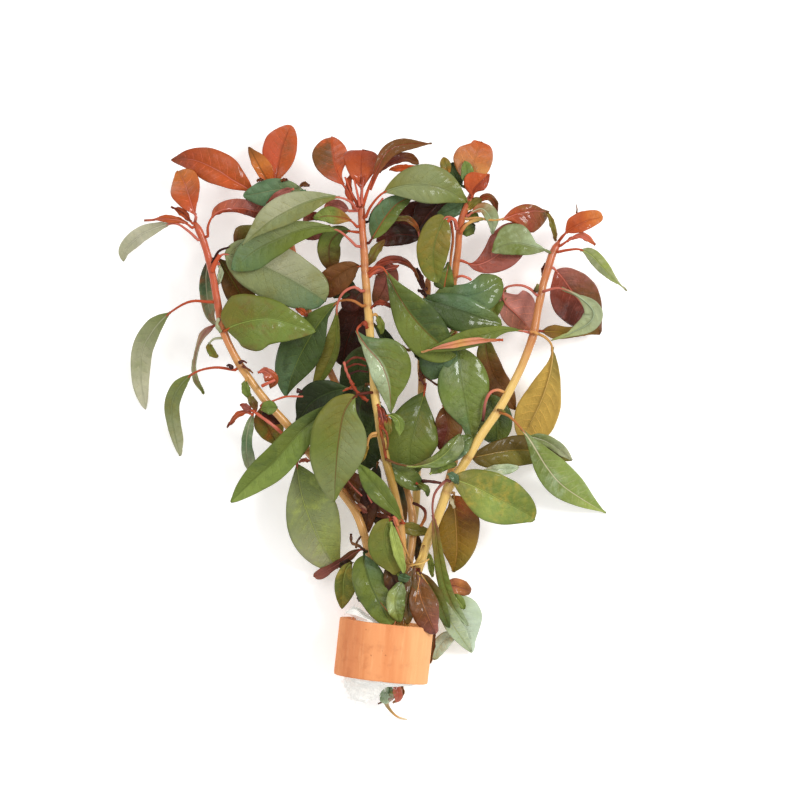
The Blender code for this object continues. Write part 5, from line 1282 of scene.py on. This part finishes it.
def add_blade(growth, leaf, sizes, along, across):
    """The flat of a leaf: a net laid along its middle line, shaped, and given its thickness."""
    spine = smooth(leaf.route, SPINE_POINTS)
    left_tints, right_tints = leaf_tints(leaf)
    rib = seen(PALETTE[leaf.ribs.split()[1]])
    blush = seen(PALETTE[leaf.blush])
    seed = sum(map(ord, leaf.name))
    turned = -1 if leaf.under else 1
    rows = growth.grid(along, across)
    travelled = 0.0
    before = None
    for index, row in enumerate(rows):
        t = index / along
        share = leaf.stalk + (1 - leaf.stalk) * t
        centre = between(spine, share)
        ahead = between(spine, share + 0.012) - between(spine, share - 0.012)
        flat = Vector((ahead.x, ahead.y, 0)).normalized()
        here = at(*centre)
        travelled += (here - before).length / MM if before else 0.0
        before = here
        for place, vert in enumerate(row):
            v = place / across * 2 - 1
            shape = leaf.left if v > 0 else leaf.right
            stalk = sizes.petiole_width / 2 / PLAN_STEP
            rough = 1 + sizes.roughness_of_rims * eased(t * 5) * noise.noise(
                Vector((t * 5, 5 if v > 0 else 9, seed)))
            half = max(half_width(shape, leaf.ends, t) * rough, stalk * (1 - t) ** 0.5)
            half_mm = half * PLAN_STEP / MM
            aside = abs(v) * half_mm
            drift = noise.noise(Vector((t * 2.4, v * 1.2, seed)))
            vein = travelled - aside * 0.5 - aside * aside * 0.055 + (sizes.vein_spacing / MM) * (
                0.5 if v > 0 else 0)
            pucker = -math.cos(2 * math.pi * vein * MM / sizes.vein_spacing)
            lift = (v * half_mm * math.tan(math.radians(leaf.roll))
                    + aside * math.tan(math.radians(leaf.fold)))
            lift += half_mm * sizes.fullness * (abs(v) - v * v) * 4 * turned
            lift += leaf.wave * abs(v) ** 3 * math.sin(
                2 * math.pi * (2.3 * t + seed * 0.13) + (1.9 if v > 0 else 0)) * eased(t * 6)
            lift += drift * leaf.wave * 0.8 * eased(t * 4)
            lift += pucker * sizes.pucker / MM * abs(v) * (1 - abs(v)) * 4 * turned
            lift -= 0.26 * math.exp(-((aside / 0.7) ** 2)) * (1 - 0.7 * t) * eased(t * 5) * turned
            reach = v * half
            vert.co = at(centre.x + flat.y * reach, centre.y - flat.x * reach, centre.z + lift)
            # Each half takes its own colours, which partly hold painted light and shade on that half.
            tint = between(left_tints if v > 0 else right_tints, t)
            tint = tint * (1 + 0.12 * drift)
            growth.write(
                vert, blade=(travelled, v * half_mm, t), state=(abs(v), leaf.under, leaf.wet),
                tint=(*tint, leaf.veins), rib=(*rib, 1), blush=(*blush, 1))
    verts = [vert for row in rows for vert in row]
    bmesh.ops.remove_doubles(growth.mesh, verts=verts, dist=1e-6)
    faces = {face for vert in verts if vert.is_valid for face in vert.link_faces}
    bmesh.ops.recalc_face_normals(growth.mesh, faces=list(faces))
    if sum(face.normal.z for face in faces) < 0:
        bmesh.ops.reverse_faces(growth.mesh, faces=list(faces))
    for face in faces:
        face.normal_update()
    for vert in verts:
        if vert.is_valid:
            vert.normal_update()
    made = bmesh.ops.extrude_face_region(growth.mesh, geom=list(faces), use_keep_orig=True)["geom"]
    below = [item for item in made if isinstance(item, bmesh.types.BMVert)]
    for vert in below:
        vert.co -= vert.normal * sizes.leaf_thickness
        edge, _, wet = vert[growth.mesh.verts.layers.float_vector["state"]]
        growth.write(vert, state=(edge, 1 - leaf.under, wet))
    shell = {face for vert in below for face in vert.link_faces} | faces
    bmesh.ops.recalc_face_normals(growth.mesh, faces=list(shell))


def add_petiole(growth, leaf, sizes, sides):
    """A leaf's stalk, from the middle of its stem, which thins out as the rib under the blade."""
    spine = smooth(leaf.route, SPINE_POINTS)
    stalk_tint, rib_tint = (seen(PALETTE[word]) * 0.85 for word in leaf.ribs.split())
    radius = sizes.petiole_width / 2
    turned = -1 if leaf.under else 1
    join = stem_near(at(*leaf.route[0]))
    centres = [join] if join else []
    radii = [radius * 1.15] if join else []
    shares = [0.0] * len(centres)
    rib_end = leaf.stalk + (1 - leaf.stalk) * RIB_REACH
    steps = max(round(rib_end * SPINE_POINTS / 2.4), 6)
    for index in range(steps + 1):
        share = rib_end * index / steps
        t = (share - leaf.stalk) / (1 - leaf.stalk)
        thin = radius * (1.15 - 0.4 * min(share / max(leaf.stalk, 0.01), 1))
        thin *= 1 - 0.88 * max(t, 0) ** 0.7
        place = at(*between(spine, share))
        place.z -= eased(t / 0.1) * (sizes.leaf_thickness + thin * 0.55 + 0.2 * MM) * turned
        centres.append(place)
        radii.append(thin)
        shares.append(max(t, 0))

    def paint_ring(index, vert, round_share):
        blend = eased(shares[index] * 5)
        tint = stalk_tint.lerp(rib_tint, blend)
        growth.write(
            vert, blade=(0, 0, 0), state=(0, 0, leaf.wet * 0.5), tint=(*tint, 1), rib=(*tint, 1),
            blush=(*tint, 1))

    growth.tube(centres, radii, sides, paint_ring)


def grow_leaf(growth, leaf, sizes, fine):
    """One leaf. fine is how closely its net is drawn."""
    add_blade(growth, leaf, sizes, round(36 * fine) * 2, round(9 * fine) * 2)
    add_petiole(growth, leaf, sizes, 10 if fine >= 1 else 7)


def make_leaf(leaf, settings):
    growth = Growth()
    grow_leaf(growth, leaf, settings, 1.0)
    piece = growth.shown(leaf.name + "_grown", skin_named("leaf_skin", leaf_skin, settings))
    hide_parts(leaf.name)


def node_places(line):
    """How far along a stem, in metres, leaves join it."""
    places = []
    for leaf in LEAVES:
        start = at(*leaf.route[0])
        travelled = 0.0
        best = (STALK_REACH, None)
        for a, b in zip(line, line[1:]):
            travelled += (b - a).length
            best = min(best, ((b - start).length, travelled), key=lambda item: item[0])
        if best[1] is not None:
            places.append(best[1])
    return places


def make_stem(stem, settings):
    """A round stem that swells a little where leaves join it."""
    line = STEM_LINES[stem.name]
    tints = [seen(PALETTE[word]) for word in stem.colours.split()]
    nodes = node_places(line)
    lengths = [0.0]
    for a, b in zip(line, line[1:]):
        lengths.append(lengths[-1] + (b - a).length)
    radii = []
    near = []
    for index, travelled in enumerate(lengths):
        share = min(index / (len(line) - 1) * 2, 1)
        radius = (stem.tip_radius * (1 - share) + stem.foot_radius * share) * MM
        close = sum(math.exp(-(((travelled - node) / NODE_LENGTH) ** 2)) for node in nodes)
        mark = sum(math.exp(-(((travelled - node) / (NODE_LENGTH * 0.3)) ** 2)) for node in nodes)
        rough = noise.noise(line[index] / (5 * MM))
        tip = min(1.0, (0.15 + travelled / (3 * MM)) ** 0.5)
        radii.append(radius * (1 + 0.1 * min(close, 1) - 0.05 * min(mark, 1) + 0.05 * rough) * tip)
        near.append(min(mark, 1))
    growth = Growth()

    def paint_ring(index, vert, round_share):
        tint = between(tints, index / (len(line) - 1))
        growth.write(vert, blade=(lengths[index] / MM, round_share, near[index]), tint=(*tint, 1))

    growth.tube(line, radii, STEM_SIDES, paint_ring)
    piece = growth.shown(stem.name + "_grown", skin_named("stem_skin", stem_skin))
    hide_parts(stem.name)


def make_ring(settings):
    """The clay ring: a short open tube with worn, rounded lips."""
    outer = RING_OUTER / 2 - 0.05 * MM
    inner = outer - RING_WALL
    half = RING_LENGTH / 2 - 0.05 * MM
    mesh = bmesh.new()
    profile = []
    for middle_radius, middle_along, start in (
            (outer - RING_EDGE, half - RING_EDGE, 0), (inner + RING_EDGE, half - RING_EDGE, 90),
            (inner + RING_EDGE, RING_EDGE - half, 180), (outer - RING_EDGE, RING_EDGE - half, 270)):
        for step in range(LIP_STEPS + 1):
            turn = math.radians(start + 90 * step / LIP_STEPS)
            profile.append(mesh.verts.new((
                middle_radius + RING_EDGE * math.cos(turn),
                middle_along + RING_EDGE * math.sin(turn), 0)))
    edges = [mesh.edges.new(pair) for pair in zip(profile, profile[1:] + profile[:1])]
    long_edges = [edge for edge in edges if edge.calc_length() > RING_WALL]
    bmesh.ops.subdivide_edges(mesh, edges=long_edges, cuts=WALL_CUTS)
    bmesh.ops.spin(
        mesh, geom=list(mesh.verts) + list(mesh.edges), axis=(0, 1, 0), cent=(0, 0, 0),
        dvec=(0, 0, 0), angle=2 * math.pi, steps=RING_SIDES, use_merge=True, use_duplicate=False)
    bmesh.ops.remove_doubles(mesh, verts=mesh.verts, dist=1e-6)
    bmesh.ops.recalc_face_normals(mesh, faces=mesh.faces)
    for vert in mesh.verts:
        wear = noise.fractal(vert.co / (7 * MM), 1.0, 2.0, 3) * 0.09 * MM
        chip = max(noise.noise(vert.co / (2.2 * MM)) - 0.35, 0) * 0.5 * MM
        lip = eased((abs(vert.co.y) - half + 1.2 * MM) / (1.2 * MM))
        vert.co -= vert.normal * (0.05 * MM + abs(wear) + chip * lip)
    bmesh.ops.transform(mesh, matrix=ring_frame(), verts=mesh.verts)
    data = bpy.data.meshes.new("clay_ring")
    mesh.to_mesh(data)
    mesh.free()
    piece = dressed("clay_ring", data, clay_skin(settings))
    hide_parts("ring")


def wool_section(along):
    """The wool's radius and its shift to the left at a distance along the ring's axis."""
    before = WOOL_SECTIONS[0]
    for section in WOOL_SECTIONS:
        if along >= section[0]:
            span = before[0] - section[0]
            share = (along - section[0]) / span if span else 0.0
            return [low + (high - low) * share for low, high in zip(section[1:], before[1:])]
        before = section
    return list(WOOL_SECTIONS[-1][1:])


def make_wool(settings):
    """Packing wool: a lumpy fibrous plug that bulges out at both ends, with loose fibres."""
    frame_of_ring = ring_frame()
    full = RING_OUTER / 2 - RING_WALL - WOOL_GAP
    top = WOOL_SECTIONS[0][0]
    foot = WOOL_SECTIONS[-1][0]
    growth = Growth()
    ball = bmesh.ops.create_icosphere(growth.mesh, subdivisions=6, radius=1)["verts"]
    for vert in ball:
        direction = vert.co.normalized()
        along = foot + (top - foot) * (direction.y + 1) / 2
        share, left = wool_section(along)
        round_off = max(1 - direction.y ** 2, 0) ** 0.22
        turn = math.atan2(direction.z, direction.x)
        wide = full * share * round_off
        place = Vector((wide * math.cos(turn) - left, along, wide * math.sin(turn)))
        # Leaves press the wool into the ring's mouth, all but its left part.
        mouth = eased((along - RING_LENGTH / 4) / (4 * MM))
        pressed = mouth * eased((place.x + 6 * MM) / (4 * MM))
        place.y += (mouth - pressed) * WOOL_BULGE - pressed * WOOL_PRESSED
        place.x -= (mouth - pressed) * WOOL_SPREAD * eased((place.y - RING_LENGTH / 2) / (1.5 * MM))
        place.z -= pressed * max(place.z, 0) * 0.5
        free = eased((abs(along) - RING_LENGTH / 2 + 1 * MM) / (2 * MM))
        lumps = noise.fractal(place / (3.5 * MM), 0.8, 2.0, 5) * 0.9 * MM
        vert.co = frame_of_ring @ (place + place.normalized() * lumps * free)
    chance = random.Random(5)
    tips = [vert for vert in ball
            if abs((frame_of_ring.inverted() @ vert.co).y) > RING_LENGTH / 2 - 1 * MM]
    tips.sort(key=lambda vert: (round(vert.co.x, 6), round(vert.co.y, 6), round(vert.co.z, 6)))
    starts = [vert.co.copy() for vert in chance.sample(tips, settings.loose_fibres)]

    def paint_ring(index, vert, round_share):
        growth.write(vert, state=(0, 0, 0))

    for start in starts:
        heading = Vector((chance.uniform(-1, 1), chance.uniform(-1, 1), chance.uniform(-0.5, 0.7)))
        heading.normalize()
        bend = Vector((chance.uniform(-1, 1), chance.uniform(-1, 1), chance.uniform(-1, 0.4)))
        length = chance.uniform(1.5, 3.6) * MM
        centres = [start + heading * length * (t - 0.4) + bend * length * (t - 0.4) ** 2
                   for t in (0, 0.25, 0.5, 0.75, 1)]
        growth.tube(centres, [FIBRE_RADIUS] * len(centres), 4, paint_ring)
    piece = growth.shown("packing_wool", wool_skin(settings))
    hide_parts("wool")


def make_root(settings):
    """A leaf remnant below the ring that thins to a root."""
    centres = smooth([at(*point) for point in ROOT_ROUTE], 40)
    radii = [between(ROOT_RADII, index / 39) * MM for index in range(40)]
    tints = [seen(PALETTE[word]) for word in ("moss", "umber", "ochre", "ochre", "tan", "cream")]
    growth = Growth()

    def paint_ring(index, vert, round_share):
        tint = between(tints, index / 39)
        growth.write(vert, blade=(index * 0.4, round_share, 0), tint=(*tint, 1))

    growth.tube(centres, radii, 12, paint_ring)
    piece = growth.shown("trailing_root", skin_named("stem_skin", stem_skin))
    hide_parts("root")


def make_sprigs(name, slot, leaves, twigs, settings):
    """Small leaves and twigs of one stem, as one piece."""
    growth = Growth()
    for leaf in leaves:
        grow_leaf(growth, leaf, settings, 0.6)
    for twig in twigs:
        add_twig(growth, twig)
    growth.shown(name, skin_named("leaf_skin", leaf_skin, settings))


def add_twig(growth, twig):
    """A bare stalk, tendril or bud that is thicker at its foot than at its tip."""
    count = max(len(twig.route) * 5, 8)
    centres = smooth([at(*point) for point in twig.route], count)
    tints = [seen(PALETTE[word]) for word in twig.colours.split()]
    radii = []
    for index in range(count):
        share = index / (count - 1)
        knobs = 1 + twig.knobs * math.sin(share * 2 * math.pi * twig.bumps)
        radii.append((twig.foot * (1 - share) + twig.tip * share) * knobs * MM)

    def paint_ring(index, vert, round_share):
        tint = between(tints, index / (count - 1))
        growth.write(
            vert, blade=(0, 0, 0), state=(0, 0, 0.4), tint=(*tint, 1), rib=(*tint, 1),
            blush=(*tint, 1))

    growth.tube(centres, radii, 9, paint_ring)


def make_stage(settings):
    """White table, soft light from the right and above, and the camera straight above."""
    bpy.ops.mesh.primitive_plane_add(size=4)
    floor = bpy.context.object
    floor.name = "table"
    paint = Paint("white_table")
    cloudy = paint.noise(paint.place(), 40 * MM, 2)
    floor.data.materials.append(paint.finish(
        Base_Color=paint.mix(seen((250, 249, 248)), seen((253, 252, 252)), cloudy), Roughness=0.9,
        Specular_IOR_Level=0.1, Emission_Color=(1, 0.99, 0.98, 1),
        Emission_Strength=settings.table_glow))
    for name, place, size, power in (
            ("key_light", (0.75, 0.35, 1.15), 0.45, settings.key_power),
            ("fill_light", (-0.5, 0.5, 1.5), 1.2, settings.fill_power)):
        light = bpy.data.lights.new(name, "AREA")
        light.shape = "DISK"
        light.size = size
        light.energy = power
        lamp = bpy.data.objects.new(name, light)
        lamp.location = place
        lamp.rotation_euler = (-Vector(place)).to_track_quat("-Z", "Y").to_euler()
        bpy.context.scene.collection.objects.link(lamp)
    world = bpy.data.worlds.new("soft_room")
    world.use_nodes = True
    sky = world.node_tree.nodes["Background"]
    sky.inputs["Color"].default_value = (1, 1, 1, 1)
    sky.inputs["Strength"].default_value = settings.room_light
    bpy.context.scene.world = world
    lens = bpy.data.cameras.new("camera")
    lens.sensor_width = SENSOR
    lens.lens = SENSOR * EYE_HEIGHT / (PLAN_WIDTH * PLAN_STEP)
    lens.clip_end = 10
    camera = bpy.data.objects.new("camera", lens)
    camera.location = PLAN_SHIFT + Vector((0, 0, EYE_HEIGHT))
    bpy.context.scene.collection.objects.link(camera)
    bpy.context.scene.camera = camera
    bpy.context.scene.view_settings.view_transform = "Standard"


class LudwigiaSettings(PropertyGroup):
    """Sizes, colours and lights that a user may change."""

    leaf_thickness: FloatProperty(
        name="Leaf thickness", description="How thick a leaf's blade is", default=0.35 * MM,
        unit="LENGTH")
    petiole_width: FloatProperty(
        name="Stalk width", description="How wide a leaf's stalk is", default=0.9 * MM,
        unit="LENGTH")
    vein_spacing: FloatProperty(
        name="Vein spacing", description="How far apart side veins leave the midrib",
        default=3.3 * MM, unit="LENGTH")
    vein_depth: FloatProperty(
        name="Vein depth", description="How deep the veins and the grain look", default=0.35 * MM,
        unit="LENGTH")
    pucker: FloatProperty(
        name="Pucker", description="How far the blade bulges between its side veins",
        default=0.1 * MM, unit="LENGTH")
    fullness: FloatProperty(
        name="Fullness", description="How far each half of a blade bulges, as a share of its width",
        default=0.07, subtype="FACTOR")
    roughness_of_rims: FloatProperty(
        name="Uneven rims", description="How unevenly a blade's rim runs, as a share of its width",
        default=0.05, subtype="FACTOR")
    loose_fibres: IntProperty(
        name="Loose fibres", description="How many fibres stand off the wool", default=260)
    clay: FloatVectorProperty(
        name="Clay", description="The clay's main colour, up to 255", default=(236, 158, 104))
    clay_dark: FloatVectorProperty(
        name="Dark clay", description="The clay's darker bands, up to 255",
        default=(222, 140, 88))
    clay_pale: FloatVectorProperty(
        name="Pale clay", description="The clay's pale streaks, up to 255",
        default=(248, 184, 130))
    wool: FloatVectorProperty(
        name="Wool", description="The wool's colour, up to 255", default=(252, 250, 244))
    wool_shade: FloatVectorProperty(
        name="Wool shade", description="The wool's shaded fibres, up to 255",
        default=(238, 238, 234))
    key_power: FloatProperty(
        name="Key light", description="Power of the light at the right", default=10, unit="POWER")
    fill_power: FloatProperty(
        name="Fill light", description="Power of the light above", default=6, unit="POWER")
    room_light: FloatProperty(
        name="Room light", description="Strength of the white room round the table", default=0.68)
    table_glow: FloatProperty(
        name="Table glow", description="How much the light table shines of its own", default=0.3)


def settings_now():
    return bpy.context.scene.ludwigia


class LUDWIGIA_OT_stage(Operator):
    """Makes the table, the lights and the camera"""

    bl_idname = "ludwigia.stage"
    bl_label = "Stage"

    def execute(self, context):
        make_stage(settings_now())
        return {"FINISHED"}


class LUDWIGIA_OT_ring(Operator):
    """Makes the clay ring"""

    bl_idname = "ludwigia.ring"
    bl_label = "Clay ring"

    def execute(self, context):
        make_ring(settings_now())
        return {"FINISHED"}


class LUDWIGIA_OT_wool(Operator):
    """Makes the packing wool in the ring"""

    bl_idname = "ludwigia.wool"
    bl_label = "Packing wool"

    def execute(self, context):
        make_wool(settings_now())
        return {"FINISHED"}


class LUDWIGIA_OT_stems(Operator):
    """Makes the six stems and the trailing root"""

    bl_idname = "ludwigia.stems"
    bl_label = "Stems"

    def execute(self, context):
        for stem in STEMS:
            make_stem(stem, settings_now())
        make_root(settings_now())
        return {"FINISHED"}


class LUDWIGIA_OT_leaves(Operator):
    """Makes the leaves that the solids hold"""

    bl_idname = "ludwigia.leaves"
    bl_label = "Leaves"

    def execute(self, context):
        for leaf in LEAVES:
            make_leaf(leaf, settings_now())
        return {"FINISHED"}


class LUDWIGIA_OT_sprigs(Operator):
    """Makes the small leaves, buds and twigs between the main leaves"""

    bl_idname = "ludwigia.sprigs"
    bl_label = "Small leaves and twigs"

    def execute(self, context):
        for sprig in SPRIGS:
            make_sprigs(*sprig, settings_now())
        return {"FINISHED"}


STEPS = (
    LUDWIGIA_OT_stage, LUDWIGIA_OT_ring, LUDWIGIA_OT_wool, LUDWIGIA_OT_stems,
    LUDWIGIA_OT_leaves, LUDWIGIA_OT_sprigs)


class LUDWIGIA_PT_panel(Panel):
    """Lists the steps and the values that they use"""

    bl_label = "Ludwigia"
    bl_idname = "LUDWIGIA_PT_panel"
    bl_space_type = "VIEW_3D"
    bl_region_type = "UI"
    bl_category = "Ludwigia"

    def draw(self, context):
        for step in STEPS:
            self.layout.operator(step.bl_idname)
        for name in LudwigiaSettings.__annotations__:
            self.layout.prop(context.scene.ludwigia, name)


CLASSES = (LudwigiaSettings, *STEPS, LUDWIGIA_PT_panel)


def register():
    for made in CLASSES:
        bpy.utils.register_class(made)
    bpy.types.Scene.ludwigia = PointerProperty(type=LudwigiaSettings)


def unregister():
    del bpy.types.Scene.ludwigia
    for made in reversed(CLASSES):
        bpy.utils.unregister_class(made)


def main():
    register()
    bpy.ops.ludwigia.stage()
    bpy.ops.ludwigia.ring()
    bpy.ops.ludwigia.wool()
    bpy.ops.ludwigia.stems()
    bpy.ops.ludwigia.leaves()
    bpy.ops.ludwigia.sprigs()


if __name__ == "__main__":
    main()
